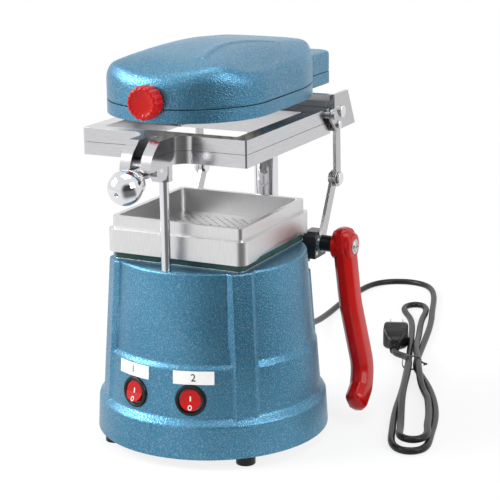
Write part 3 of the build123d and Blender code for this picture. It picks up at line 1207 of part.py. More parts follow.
def switch_rocker(side):
    """Round rocker on two stub pins, at rest with its lower half pressed in."""
    seat = switch_plane(side).offset(-1.2)
    rocker = seat.offset(-ROCKER_HALF_THICKNESS) * Cylinder(ROCKER_RADIUS, 2 * ROCKER_HALF_THICKNESS, align=BOTTOM_ALIGN)
    half = ROCKER_RADIUS
    dip = half * tan(radians(ROCKER_TILT))
    notch = make_face(Polyline((-half - 1, 2.0 + dip), (0, 2.0), (half + 1, 2.0 + dip),
                               (half + 1, 9), (-half - 1, 9), close=True))
    side_plane = Plane(origin=seat.from_local_coords((-12, 0, 0)), x_dir=seat.y_dir, z_dir=seat.x_dir)
    rocker -= extrude(side_plane * notch, amount=24)
    axle = Plane(origin=seat.from_local_coords((-12, 0, 0)), z_dir=seat.x_dir)
    rocker -= axle * Cylinder(1.2 + RUN_FIT, 24, align=BOTTOM_ALIGN)
    tilt = Plane(origin=seat.origin, x_dir=seat.x_dir, z_dir=seat.z_dir)
    return rocker.rotate(Axis(tilt.origin, tilt.x_dir), -ROCKER_TILT)


def label(side):
    """Thin curved nameplate above a switch."""
    def skin(start):
        return [(band_radius(LABEL_BOTTOM) + start, LABEL_BOTTOM), (band_radius(LABEL_TOP) + start, LABEL_TOP)]
    inner = skin(0.05)
    outer = skin(0.05 + LABEL_THICKNESS)
    face = make_face(Polyline(inner[0], outer[0], outer[1], inner[1], close=True))
    span = degrees(LABEL_LENGTH / BAND_TOP_RADIUS)
    start = degrees(LABEL_START / BAND_TOP_RADIUS)
    begin = -90 + start if side > 0 else -90 - start - span
    return Rot(0, 0, begin) * revolve(Plane.XZ * face, Axis.Z, span)


# ---------------------------------------------------------------- vacuum motor
def standoff_places():
    """Places of the posts that hang the fan under the deck."""
    return [(50.0 * cos(a), 50.0 * sin(a)) for a in (radians(45 + 90 * i) for i in range(4))]


def motor_standoffs():
    """Posts with studs between the fan shroud and the deck."""
    return [disc(5, SHROUD_TOP, BASE_TOP - DECK_THICKNESS, x, y)
            + disc(SCREW_RADIUS, BASE_TOP - DECK_THICKNESS, BASE_TOP - 2, x, y) for x, y in standoff_places()]


def inlet_seal():
    """Rubber sleeve from the deck's air hole to the fan's inlet."""
    return tube(GASKET_HOLE + 6, GASKET_HOLE, SHROUD_TOP, BASE_TOP - DECK_THICKNESS)


def fan_shroud():
    """Can around the impeller, open to the motor below."""
    shroud = tube(SHROUD_RADIUS, SHROUD_RADIUS - SHEET_METAL, MOTOR_TOP, SHROUD_TOP)
    shroud += tube(SHROUD_RADIUS, GASKET_HOLE, SHROUD_TOP - SHEET_METAL, SHROUD_TOP)
    for i in range(12):
        turn = Rot(0, 0, 30 * i)
        shroud -= turn * block(SHROUD_RADIUS - 4, SHROUD_RADIUS + 2, -4, 4, MOTOR_TOP + 3, MOTOR_TOP + 9)
    return shroud


def motor_housing():
    """Motor can with a flange that closes the fan shroud."""
    housing = disc(MOTOR_RADIUS, MOTOR_BOTTOM, MOTOR_TOP) - disc(MOTOR_RADIUS - 2.5, MOTOR_BOTTOM + 3, MOTOR_TOP - 3)
    housing += tube(SHROUD_RADIUS, MOTOR_RADIUS - 1, MOTOR_TOP - 2, MOTOR_TOP)
    return housing - disc(MOTOR_SHAFT_RADIUS + RUN_FIT, MOTOR_BOTTOM + 1.5, MOTOR_TOP + 1)


def motor_stator():
    """Laminated field ring inside the motor can."""
    return tube(MOTOR_RADIUS - 2.5, ARMATURE_RADIUS + 1.0, 48, 88)


def motor_armature():
    """Wound armature on its shaft."""
    return disc(ARMATURE_RADIUS, 46, 90) + disc(MOTOR_SHAFT_RADIUS, MOTOR_BOTTOM + 1.5 + FACE_GAP, 136)


def impeller():
    """Two-disc fan wheel on the armature's shaft."""
    wheel = tube(IMPELLER_RADIUS, MOTOR_SHAFT_RADIUS, 113, 115) + tube(10, MOTOR_SHAFT_RADIUS, 113, 134)
    wheel += tube(IMPELLER_RADIUS, GASKET_HOLE, 132, 134)
    for i in range(8):
        wheel += Rot(0, 0, 45 * i + 10) * block(GASKET_HOLE + 1, IMPELLER_RADIUS - 1, -1, 1, 115, 132)
    return wheel


# ---------------------------------------------------------------- cord
def cord_gland():
    """Screwed gland where the cord leaves the body."""
    plane = gland_plane()
    gland = plane.offset(-6) * Cylinder(GLAND_RADIUS - 1.5, 6, align=BOTTOM_ALIGN)
    gland += plane.offset(-0.6) * Cylinder(GLAND_RADIUS, 5.6, align=BOTTOM_ALIGN)
    gland += plane.offset(5) * Cone(GLAND_RADIUS, GLAND_RADIUS - 1.8, GLAND_LENGTH - 5, align=BOTTOM_ALIGN)
    return gland


def cord_points():
    """Every point of the free cord's route, from the gland to the hank."""
    way_out = gland_plane()
    way_in = hank_plane()
    leaving = [tuple(way_out.from_local_coords(Vector(0, 0, GLAND_LENGTH + run))) for run in (0, CORD_LEAD_OUT)]
    along, aside = CORD_ENTRY
    entering = [tuple(way_in.from_local_coords(Vector(along + run, aside, GRAVITY_SETTLE))) for run in (-CORD_LEAD_IN, 0)]
    return leaving + CORD_ROUTE + entering


def corner_radii(points):
    """Radius at each corner: 0.45 of its shorter run over the tangent of half its turn."""
    radii = []
    for before, at, after in zip(points, points[1:], points[2:]):
        one = Vector(*at) - Vector(*before)
        two = Vector(*after) - Vector(*at)
        turn = radians(one.get_angle(two))
        radii.append(0.45 * min(one.length, two.length) / tan(turn / 2))
    return radii


def power_cord():
    """Free cord from the gland to the hank."""
    points = cord_points()
    radii = corner_radii(points)
    print("cord radii", [round(r, 1) for r in radii])
    path = FilletPolyline(*points, radius=radii)
    start = Vector(*points[0])
    section = Plane(origin=start, z_dir=Vector(*points[1]) - start) * Circle(CORD_RADIUS)
    cord = sweep(section, path=path)
    print("cord length", round(path.length, 1), "volume share", round(cord.volume / (pi * CORD_RADIUS ** 2 * path.length), 4))
    return cord


def hank_plane():
    """Plane on the bench along the hank, from its far end; y is to its right."""
    run = Vector(HANK_NEAR[0] - HANK_FAR[0], HANK_NEAR[1] - HANK_FAR[1], 0)
    return Plane(origin=(*HANK_FAR, 0), x_dir=run, z_dir=(0, 0, 1))


def cord_hank():
    """Outer shape of the folded cord, waisted at its tie."""
    points = [(x, -y) for x, y in HANK_LEFT] + list(reversed(HANK_RIGHT))
    return extrude(hank_plane() * make_face(Polyline(*points, close=True)), amount=HANK_HEIGHT)


def cord_tie():
    """Wire tie around the hank's waist."""
    outer = hank_plane() * Pos(*TIE_PLACE, 0) * Box(TIE_WIDTH, TIE_SPAN, HANK_HEIGHT + TIE_PROUD, align=BOTTOM_ALIGN)
    return outer - cord_hank()


def plug():
    """Moulded three-pin plug lying beside the hank."""
    beside = -HANK_LEFT[1][1] - PLUG_WIDTH / 2
    place = hank_plane() * Pos(PLUG_PLACE, beside, 0)
    body_length = 0.62 * PLUG_LENGTH
    neck_length = PLUG_LENGTH / 2
    face = -body_length - PLUG_LENGTH * 0.19
    body = place * Pos(face + body_length / 2, 0, 0) * Box(body_length, PLUG_WIDTH, PLUG_HEIGHT, align=BOTTOM_ALIGN)
    neck = place * Pos(face + body_length + neck_length / 2, 0, 0) * Box(neck_length, 12, 12, align=BOTTOM_ALIGN)
    whole = body + neck
    for y in (-6.35, 6.35):
        whole += place * Pos(face - BLADE_LENGTH / 2, y, BLADE_Z) * Box(BLADE_LENGTH, 1.5, 6.5)
    whole += place * Pos(face - EARTH_PIN_LENGTH / 2, 0, EARTH_PIN_Z) * Rot(0, 90, 0) * Cylinder(2.4, EARTH_PIN_LENGTH)
    return whole


# ---------------------------------------------------------------- files
def main():
    """Write every node."""
    os.makedirs("parts", exist_ok=True)
    write("base_housing", base_housing())
    write("bottom_cover", bottom_cover())
    write("cover_screws", *cover_screws())
    write("rubber_feet", *rubber_feet())
    write("seat_plate", seat_plate())
    write("tray_gasket", tray_gasket())
    write("vacuum_tray", vacuum_tray())
    write("perforated_plate", perforated_plate())
    write("plate_screws", *plate_screws())
    write("rear_bridge", rear_bridge())
    write("bridge_screws", *bridge_screws(), *block_screws())
    write("column", column())
    write("bearing_blocks", bearing_block(RIGHT_ARM_END, BLOCK_RIGHT), bearing_block(-LEFT_ARM_END, BLOCK_LEFT))
    write("bearing_bushes", *bearing_bushes())
    write("rod_bush", rod_bush())
    write("switch_bodies", switch_bezel(-1), switch_bezel(1))
    write("rocker_left", switch_rocker(-1))
    write("rocker_right", switch_rocker(1))
    write("switch_labels", label(-1), label(1))
    write("motor_standoffs", *motor_standoffs())
    write("inlet_seal", inlet_seal())
    write("fan_shroud", fan_shroud())
    write("motor_housing", motor_housing())
    write("motor_stator", motor_stator())
    write("motor_armature", motor_armature())
    write("impeller", impeller())
    write("lower_frame", lower_frame())
    write("lift_bracket", lift_bracket())
    write("bracket_screws", *bracket_screws())
    write("slide_bush", slide_bush())
    write("bracket_pins", *wrist_pins(), *tilt_pins())
    write("guide_rod", guide_rod())
    write("bolt_pivot_pin", bolt_pivot_pin())
    write("upper_frame", upper_frame())
    write("hinge_plates", hinge_plate(-1), hinge_plate(1))
    write("hinge_screws", *hinge_screws())
    write("swing_bolt", swing_bolt())
    write("clamp_knob", clamp_knob())
    write("lever_shaft", lever_shaft())
    write("crank_right", crank(CRANK_RIGHT, CRANK_RIGHT + BAR_THICKNESS))
    write("crank_left", crank(CRANK_LEFT - BAR_THICKNESS, CRANK_LEFT))
    write("link_right", link(LINK_RIGHT, LINK_RIGHT + BAR_THICKNESS))
    write("link_left", link(LINK_LEFT - BAR_THICKNESS, LINK_LEFT))
    write("toggle_pins", *toggle_pins())
    write("hub_spacer", hub_spacer())
    write("lever_handle", lever_handle())
    write("handle_screw", handle_screw())
    write("head_shell", head_shell())
    write("head_ring", head_ring())
    write("shell_screws", *shell_screws())
    write("reflector_pan", reflector_pan())
    write("heater_plate", heater_plate())
    write("heater_coil", *heater_coil())
    write("pivot_hub", pivot_hub())
    write("grip_knob", grip_knob(), knob_stud())
    write("cord_gland", cord_gland())
    write("power_cord", power_cord())
    write("cord_hank", cord_hank())
    write("cord_tie", cord_tie())
    write("plug", plug())


main()
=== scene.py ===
"""Looks of a bench-top vacuum former for dental sheets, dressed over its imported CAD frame."""
import json
import logging
import math
from dataclasses import dataclass, field
from enum import Enum
from typing import Any, Callable, Iterable, Optional, Sequence, Union

import bmesh
import bpy
import numpy as np
from mathutils import Matrix, Vector
from mathutils.bvhtree import BVHTree

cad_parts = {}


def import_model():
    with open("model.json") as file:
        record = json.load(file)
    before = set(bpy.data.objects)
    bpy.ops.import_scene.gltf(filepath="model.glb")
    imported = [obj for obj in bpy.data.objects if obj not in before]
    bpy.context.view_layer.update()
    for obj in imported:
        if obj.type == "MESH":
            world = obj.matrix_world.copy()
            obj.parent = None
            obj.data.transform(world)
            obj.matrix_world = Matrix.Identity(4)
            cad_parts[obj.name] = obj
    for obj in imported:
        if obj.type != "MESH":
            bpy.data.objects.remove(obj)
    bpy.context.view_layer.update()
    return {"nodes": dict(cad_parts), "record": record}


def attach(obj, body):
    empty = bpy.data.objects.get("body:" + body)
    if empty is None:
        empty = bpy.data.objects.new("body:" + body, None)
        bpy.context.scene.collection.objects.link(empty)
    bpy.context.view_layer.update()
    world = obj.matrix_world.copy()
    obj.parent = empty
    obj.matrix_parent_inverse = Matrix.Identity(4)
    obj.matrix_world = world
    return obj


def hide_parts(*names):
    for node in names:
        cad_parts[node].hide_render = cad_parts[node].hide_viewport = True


LOG = logging.getLogger("vacuum_former")
MM = 0.001
SQUARE = ((-1, -1), (1, -1), (1, 1), (-1, 1))
Triple = Sequence[float]
Value = Union["Wire", float, Sequence[float]]


# ---------------------------------------------------------------- shader graph
class Wire:
    """A shader socket that takes part in arithmetic."""

    def __init__(self, graph: "Graph", socket: bpy.types.NodeSocket) -> None:
        """Keep the socket and the graph it belongs to."""
        self.graph = graph
        self.socket = socket

    def _math(self, operation: str, left: Value, right: Value = 0.0) -> "Wire":
        """Add one Math node."""
        return self.graph.node("ShaderNodeMath", {"operation": operation}, {0: left, 1: right})

    def __add__(self, other: Value) -> "Wire":
        """self + other."""
        return self._math("ADD", self, other)

    def __radd__(self, other: Value) -> "Wire":
        """other + self."""
        return self._math("ADD", other, self)

    def __sub__(self, other: Value) -> "Wire":
        """self - other."""
        return self._math("SUBTRACT", self, other)

    def __rsub__(self, other: Value) -> "Wire":
        """other - self."""
        return self._math("SUBTRACT", other, self)

    def __mul__(self, other: Value) -> "Wire":
        """self * other."""
        return self._math("MULTIPLY", self, other)

    def __rmul__(self, other: Value) -> "Wire":
        """other * self."""
        return self._math("MULTIPLY", other, self)

    def between(self, low: float, high: float) -> "Wire":
        """Smooth step of this value from low to high, as 0 to 1."""
        return self.graph.node(
            "ShaderNodeMapRange",
            {"interpolation_type": "SMOOTHSTEP"},
            {"Value": self, "From Min": low, "From Max": high},
        )


class Graph:
    """Node tree of one material, or of the world."""

    def __init__(self, name: str, world: bool = False) -> None:
        """Start an empty tree with its output."""
        self.material = (bpy.data.worlds if world else bpy.data.materials).new(name)
        self.material.use_nodes = True
        self.tree = self.material.node_tree
        self.tree.nodes.clear()
        self.output = self.tree.nodes.new("ShaderNodeOutputWorld" if world else "ShaderNodeOutputMaterial")

    def node(self, kind: str, settings: Optional[dict] = None, sockets: Optional[dict] = None,
             out: Any = 0) -> Wire:
        """Add a node.

        Args:
            kind: Blender's node type.
            settings: Its properties.
            sockets: Values or wires of its inputs, by name or index.
            out: Output to hand back, by name or index.

        Returns:
            The chosen output.
        """
        made = self.tree.nodes.new(kind)
        for key, value in (settings or {}).items():
            setattr(made, key, value)
        for key, value in (sockets or {}).items():
            target = made.inputs[key]
            if isinstance(value, Wire):
                self.tree.links.new(value.socket, target)
            elif isinstance(value, (tuple, list)) and len(value) == 3 and target.type == "RGBA":
                target.default_value = (*value, 1.0)
            else:
                target.default_value = value
        return Wire(self, made.outputs[out])

    def place(self, stretch: Triple = (1.0, 1.0, 1.0)) -> Wire:
        """Object coordinates in metres, scaled along each axis."""
        coordinates = self.node("ShaderNodeTexCoord", out="Object")
        sockets = {0: coordinates, 1: tuple(stretch)}
        return self.node("ShaderNodeVectorMath", {"operation": "MULTIPLY"}, sockets)

    def noise(self, scale: float, detail: float, stretch: Triple = (1.0, 1.0, 1.0)) -> Wire:
        """Fractal noise from 0 to 1."""
        sockets = {"Vector": self.place(stretch), "Scale": scale, "Detail": detail, "Roughness": 0.5}
        return self.node("ShaderNodeTexNoise", None, sockets, "Fac")

    def cells(self, scale: float) -> Wire:
        """Distance to the nearest of many scattered points."""
        sockets = {"Vector": self.place(), "Scale": scale, "Smoothness": 0.7}
        return self.node("ShaderNodeTexVoronoi", {"feature": "SMOOTH_F1"}, sockets, "Distance")

    def mix(self, factor: Value, first: Value, second: Value) -> Wire:
        """Mix two colours."""
        return self.node("ShaderNodeMix", {"data_type": "RGBA"}, {0: factor, 6: first, 7: second}, 2)

    def bump(self, height: Wire, depth: float, strength: float) -> Wire:
        """Normal that a height in metres gives."""
        return self.node("ShaderNodeBump", None, {"Height": height, "Distance": depth, "Strength": strength})

    def close(self, shader: Wire) -> None:
        """Join a shader to the tree's output."""
        self.tree.links.new(shader.socket, self.output.inputs["Surface"])

    def finish(
        self, colour: Value, rough: Value, metal: Value, normal: Wire, **fixed: Any
    ) -> bpy.types.Material:
        """Close the tree with a Principled shader.

        Args:
            colour: Base colour.
            rough: Roughness.
            metal: Metallic.
            normal: Normal.
            fixed: Constants of other sockets, their spaces written as underscores.

        Returns:
            The finished material.
        """
        sockets = {"Base Color": colour, "Roughness": rough, "Metallic": metal, "Normal": normal}
        sockets.update({key.replace("_", " "): value for key, value in fixed.items()})
        self.close(self.node("ShaderNodeBsdfPrincipled", None, sockets))
        return self.material


# ---------------------------------------------------------------- finishes
class Slot(Enum):
    """Material slots of the record."""

    HAMMER_BLUE = "hammer_blue"
    POLISHED_FRAME = "polished_frame"
    SATIN_TRAY = "satin_tray"
    CHROME = "chrome"
    BRIGHT_STEEL = "bright_steel"
    SCREW_STEEL = "screw_steel"
    BLACK_CASTING = "black_casting"
    RED_GLOSS = "red_gloss"
    BLACK_PLASTIC = "black_plastic"
    BLACK_RUBBER = "black_rubber"
    GREEN_GASKET = "green_gasket"
    PLAIN_LABEL = "plain_label"
    BRONZE_BUSH = "bronze_bush"
    MOTOR_IRON = "motor_iron"
    MOTOR_CAN = "motor_can"
    CERAMIC = "ceramic"
    HEATER_WIRE = "heater_wire"


@dataclass(frozen=True)
class Finish:
    """A surface of two close tones with grain, wear and a fine relief."""

    name: str
    light: Triple
    dark: Triple
    rough: float = 0.4
    rough_spread: float = 0.1
    metal: float = 0.0
    patch: float = 40.0
    grain: float = 900.0
    stretch: Triple = (1.0, 1.0, 1.0)
    relief: float = 0.00004
    strength: float = 0.5
    coat: float = 0.0
    specular: float = 0.5

    def material(self) -> bpy.types.Material:
        """Build the material."""
        graph = Graph(self.name)
        patches = graph.noise(self.patch, 4.0)
        grain = graph.noise(self.grain, 3.0, self.stretch)
        colour = graph.mix(patches.between(0.3, 0.7), self.dark, self.light)
        rough = self.rough + self.rough_spread * (patches * 0.6 + grain * 0.8 - 0.7)
        normal = graph.bump(grain, self.relief, self.strength)
        return graph.finish(colour, rough, self.metal, normal, Specular_IOR_Level=self.specular,
                            Coat_Weight=self.coat, Coat_Roughness=0.06)


@dataclass(frozen=True)
class HammerEnamel:
    """Hammer-tone enamel: finely dimpled metallic paint, with a painted sheen on the dimple crests."""

    name: str = "HammerEnamel"
    deep: Triple = (0.030, 0.175, 0.300)
    pale: Triple = (0.050, 0.215, 0.350)
    # Pale silvery colour painted on the dimple crests as a painted sheen, and how far the crests are mixed
    # towards it
    crest_sheen: Triple = (0.52, 0.62, 0.68)
    cell: float = 900.0
    cloud: float = 14.0
    sheen_share: float = 0.22
    depth: float = 0.00040
    strength: float = 0.8
    index: float = 1.6
    metal: float = 0.75
    rough: float = 0.33

    def material(self) -> bpy.types.Material:
        """Build the material."""
        graph = Graph(self.name)
        dimples = graph.cells(self.cell)
        ripple = graph.noise(self.cell * 0.8, 2.0)
        cloud = graph.noise(self.cloud, 2.0)
        top = dimples.between(0.35, 0.75)
        body = graph.mix(cloud.between(0.3, 0.7), self.deep, self.pale)
        # Painted sheen: the crests of the dimples are mixed towards the pale silvery colour, a highlight
        # painted into the base colour; the cloud mix of two blues is random tone
        colour = graph.mix(top * self.sheen_share, body, self.crest_sheen)
        normal = graph.bump(dimples * 0.8 + ripple * 0.5, self.depth, self.strength)
        rough = self.rough + 0.06 * cloud - 0.05 * top
        return graph.finish(colour, rough, self.metal, normal, IOR=self.index, Specular_IOR_Level=0.5)


@dataclass(frozen=True)
class BrushedMetal:
    """Metal with fine parallel scratches and a slight haze."""

    name: str
    tone: Triple
    rough: float
    spread: float
    stretch: Triple
    depth: float = 0.00002
    strength: float = 0.6
    haze: float = 28.0
    scratches: float = 2200.0
    darkest: float = 0.88

    def material(self) -> bpy.types.Material:
        """Build the material."""
        graph = Graph(self.name)
        haze = graph.noise(self.haze, 4.0)
        lines = graph.noise(self.scratches, 3.0, self.stretch)
        dark = tuple(self.darkest * channel for channel in self.tone)
        colour = graph.mix(lines.between(0.25, 0.8), dark, self.tone)
        rough = self.rough + self.spread * (haze - 0.5) + self.spread * 0.5 * (lines - 0.5)
        return graph.finish(colour, rough, 1.0, graph.bump(lines, self.depth, self.strength))


FINISHES = {
    Slot.HAMMER_BLUE: HammerEnamel(),
    Slot.POLISHED_FRAME: BrushedMetal(
        "PolishedCasting", (0.63, 0.63, 0.645), 0.17, 0.12, (0.05, 0.05, 1.0), 0.000015),
    Slot.SATIN_TRAY: BrushedMetal("SatinAluminium", (0.74, 0.735, 0.74), 0.33, 0.16, (1.0, 1.0, 0.04)),
    Slot.CHROME: Finish(
        "BrightChrome", (0.78, 0.78, 0.80), (0.70, 0.71, 0.74), 0.05, 0.04, 1.0, relief=0.000004),
    Slot.BRIGHT_STEEL: BrushedMetal("BrushedZinc", (0.56, 0.555, 0.56), 0.26, 0.14, (1.0, 1.0, 0.05)),
    Slot.SCREW_STEEL: Finish("PlatedScrews", (0.62, 0.61, 0.60), (0.48, 0.48, 0.49), 0.24, 0.15, 1.0, 120.0),
    Slot.BLACK_CASTING: Finish(
        "BlackEnamel", (0.032, 0.033, 0.036), (0.016, 0.016, 0.018), 0.30, 0.15, 0.0, 60.0, 700.0,
        relief=0.0001, coat=0.2, specular=0.3),
    Slot.RED_GLOSS: Finish(
        "RedGloss", (0.47, 0.004, 0.003), (0.41, 0.003, 0.002), 0.20, 0.08, 0.0, 30.0, 250.0,
        relief=0.00003, strength=0.3, coat=0.12, specular=0.22),
    Slot.BLACK_PLASTIC: Finish(
        "MouldedBlack", (0.010, 0.010, 0.011), (0.005, 0.005, 0.006), 0.30, 0.12, 0.0, 90.0, 1800.0,
        specular=0.3),
    Slot.BLACK_RUBBER: Finish(
        "BlackRubber", (0.008, 0.008, 0.009), (0.004, 0.004, 0.0045), 0.36, 0.14, 0.0, 70.0, 1200.0,
        relief=0.00005, specular=0.3),
    Slot.GREEN_GASKET: Finish(
        "GreenGasket", (0.020, 0.085, 0.070), (0.010, 0.050, 0.042), 0.55, 0.15, 0.0, 60.0, 900.0,
        relief=0.00008),
    Slot.PLAIN_LABEL: Finish(
        "LabelFilm", (0.84, 0.84, 0.82), (0.76, 0.77, 0.76), 0.28, 0.10, 0.0, 50.0, 600.0, relief=0.00001),
    Slot.BRONZE_BUSH: Finish(
        "SinteredBronze", (0.60, 0.38, 0.16), (0.42, 0.26, 0.11), 0.36, 0.15, 1.0, 150.0),
    Slot.MOTOR_IRON: Finish(
        "LaminatedIron", (0.22, 0.22, 0.23), (0.12, 0.12, 0.125), 0.45, 0.2, 0.9, 80.0, 900.0,
        (0.05, 0.05, 1.0)),
    Slot.MOTOR_CAN: Finish(
        "DrawnCan", (0.52, 0.52, 0.53), (0.42, 0.42, 0.43), 0.30, 0.15, 1.0, 50.0, 900.0, (1.0, 1.0, 0.05)),
    Slot.CERAMIC: Finish(
        "FiredCeramic", (0.80, 0.76, 0.67), (0.68, 0.63, 0.54), 0.75, 0.15, 0.0, 60.0, 800.0, relief=0.0001),
    Slot.HEATER_WIRE: Finish("OxidisedWire", (0.30, 0.25, 0.22), (0.16, 0.14, 0.13), 0.5, 0.2, 0.85, 200.0),
}


class Palette:
    """Materials of the record's slots, each made once."""

    def __init__(self) -> None:
        """Start with nothing made."""
        self.made: dict[Slot, bpy.types.Material] = {}

    def of(self, slot: Slot) -> bpy.types.Material:
        """Material of a slot."""
        if slot not in self.made:
            self.made[slot] = FINISHES[slot].material()
        return self.made[slot]


PALETTE = Palette()


# ---------------------------------------------------------------- mesh building
@dataclass
class Mesh:
    """Points in millimetres and faces, gathered piece by piece."""

    points: list = field(default_factory=list)
    faces: list = field(default_factory=list)

    def add(self, points: Iterable[Triple], faces: Iterable[Sequence[int]]) -> "Mesh":
        """Append points and faces that count from them."""
        start = len(self.points)
        self.points.extend(tuple(map(float, point)) for point in points)
        self.faces.extend(tuple(start + index for index in face) for face in faces)
        return self

    def rings(self, rings: Sequence[Sequence[Triple]], ends_meet: bool = False) -> "Mesh":
        """Skin closed rings of equal length.

        Args:
            rings: Points of each ring, in order.
            ends_meet: Join the last ring to the first, where both would get a cap.

        Returns:
            This mesh.
        """
        count = len(rings[0])
        faces = []
        steps = len(rings) if ends_meet else len(rings) - 1
        for row in range(steps):
            here, there = row * count, ((row + 1) % len(rings)) * count
            for column in range(count):
                after = (column + 1) % count
                faces.append((here + column, here + after, there + after, there + column))
        if not ends_meet:
            faces.append(tuple(reversed(range(count))))
            faces.append(tuple((len(rings) - 1) * count + column for column in range(count)))
        return self.add([point for ring in rings for point in ring], faces)

    def lathe(self, profile: Sequence[tuple[float, float]], place: Matrix, count: int,
              wave: Optional[Callable[[float, float], float]] = None) -> "Mesh":
        """Turn a profile of (radius, height) about the place's z axis.

        Args:
            profile: Radius and height pairs, from one end to the other.
            place: Matrix in millimetres.
            count: Segments round the axis.
            wave: Factor on the radius at an angle and height.

        Returns:
            This mesh.
        """
        rings = []
        for radius, height in profile:
            ring = []
            for step in range(count):
                angle = 2 * math.pi * step / count
                reach = radius * (wave(angle, height) if wave else 1.0)
                ring.append(place @ Vector((reach * math.cos(angle), reach * math.sin(angle), height)))
            rings.append(ring)
        return self.rings(rings)

    def built(self, name: str) -> bpy.types.Object:
        """Blender object of this mesh, in metres."""
        mesh = bpy.data.meshes.new(name)
        mesh.from_pydata([[c * MM for c in point] for point in self.points], [], self.faces)
        mesh.validate()
        made = bpy.data.objects.new(name, mesh)
        bpy.context.scene.collection.objects.link(made)
        tidy_mesh(made)
        return made


def tidy_mesh(piece: bpy.types.Object) -> None:
    """Weld points that coincide and turn faces outward."""
    work = bmesh.new()
    work.from_mesh(piece.data)
    bmesh.ops.remove_doubles(work, verts=work.verts, dist=1e-6)
    bmesh.ops.recalc_face_normals(work, faces=work.faces)
    work.to_mesh(piece.data)
    work.free()


def settle(piece: bpy.types.Object) -> bpy.types.Object:
    """Apply the piece's modifiers to its mesh."""
    bpy.context.view_layer.update()
    graph = bpy.context.evaluated_depsgraph_get()
    mesh = bpy.data.meshes.new_from_object(piece.evaluated_get(graph))
    piece.modifiers.clear()
    piece.data = mesh
    return piece


def shade(piece: bpy.types.Object, angle: float = 35.0) -> bpy.types.Object:
    """Smooth shading with sharp edges above an angle, in degrees."""
    piece.data.shade_smooth()
    piece.data.set_sharp_from_angle(angle=math.radians(angle))
    return piece


def rounded(piece: bpy.types.Object, width: float) -> bpy.types.Object:
    """Round the piece's sharp edges by a width in millimetres."""
    bevel = piece.modifiers.new("rounding", "BEVEL")
    bevel.width = width * MM
    bevel.segments = 3
    bevel.limit_method = "ANGLE"
    bevel.angle_limit = math.radians(32.0)
    bevel.use_clamp_overlap = True
    settle(piece)
    piece.data.shade_smooth()
    weights = piece.modifiers.new("weights", "WEIGHTED_NORMAL")
    weights.keep_sharp = True
    return settle(shade(piece, 50.0))


def carved(piece: bpy.types.Object, tool: bpy.types.Object,
           operation: str = "DIFFERENCE") -> bpy.types.Object:
    """Cut or join the piece with another mesh, which is then removed."""
    cut = piece.modifiers.new("cut", "BOOLEAN")
    cut.operation = operation
    cut.solver = "EXACT"
    cut.object = tool
    settle(piece)
    bpy.data.objects.remove(tool)
    return piece


def boxed(mesh: Mesh, low: Triple, high: Triple) -> Mesh:
    """Add a plain box, used only as a tool that cuts or joins."""
    x0, y0, z0 = low
    x1, y1, z1 = high
    bottom = [(x0, y0, z0), (x1, y0, z0), (x1, y1, z0), (x0, y1, z0)]
    return mesh.rings([bottom, [(x, y, z1) for x, y, _ in bottom]])


def facing(origin: Triple, normal: Triple) -> Matrix:
    """Matrix whose z axis is a normal off the vertical, its y axis as upright as can be."""
    z = Vector(normal).normalized()
    x = Vector((0.0, 0.0, 1.0)).cross(z).normalized()
    turn = Matrix((x, z.cross(x), z)).transposed().to_4x4()
    return Matrix.Translation(Vector(origin)) @ turn


def copied(node: str, name: str, width: float, body: str) -> bpy.types.Object:
    """Rounded copy of a CAD node in that node's own finish, on its body."""
    slot = Slot(bpy.data.objects[node]["slot_name"])
    return wear(cad_copy(node, name, width), slot, body, node)


def wear(piece: bpy.types.Object, slot: Slot, body: str, *nodes: str) -> bpy.types.Object:
    """Give a piece its slot's finish and its body, and hide the CAD nodes it stands for."""
    piece.data.materials.clear()
    piece.data.materials.append(PALETTE.of(slot))
    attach(piece, body)
    if nodes:
        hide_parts(*nodes)
    LOG.info("%s rides on %s", piece.name, body)
    return piece


def cad_copy(node: str, name: str, width: float) -> bpy.types.Object:
    """Cleaned copy of a CAD node, its edges rounded by a width in millimetres."""
    source = bpy.data.objects[node]
    work = bmesh.new()
    work.from_mesh(source.data)
    bmesh.ops.remove_doubles(work, verts=work.verts, dist=2e-6)
    bmesh.ops.dissolve_limit(work, angle_limit=math.radians(0.6), verts=work.verts, edges=work.edges)
    mesh = bpy.data.meshes.new(name)
    work.to_mesh(mesh)
    work.free()
    made = bpy.data.objects.new(name, mesh)
    bpy.context.scene.collection.objects.link(made)
    return rounded(made, width)


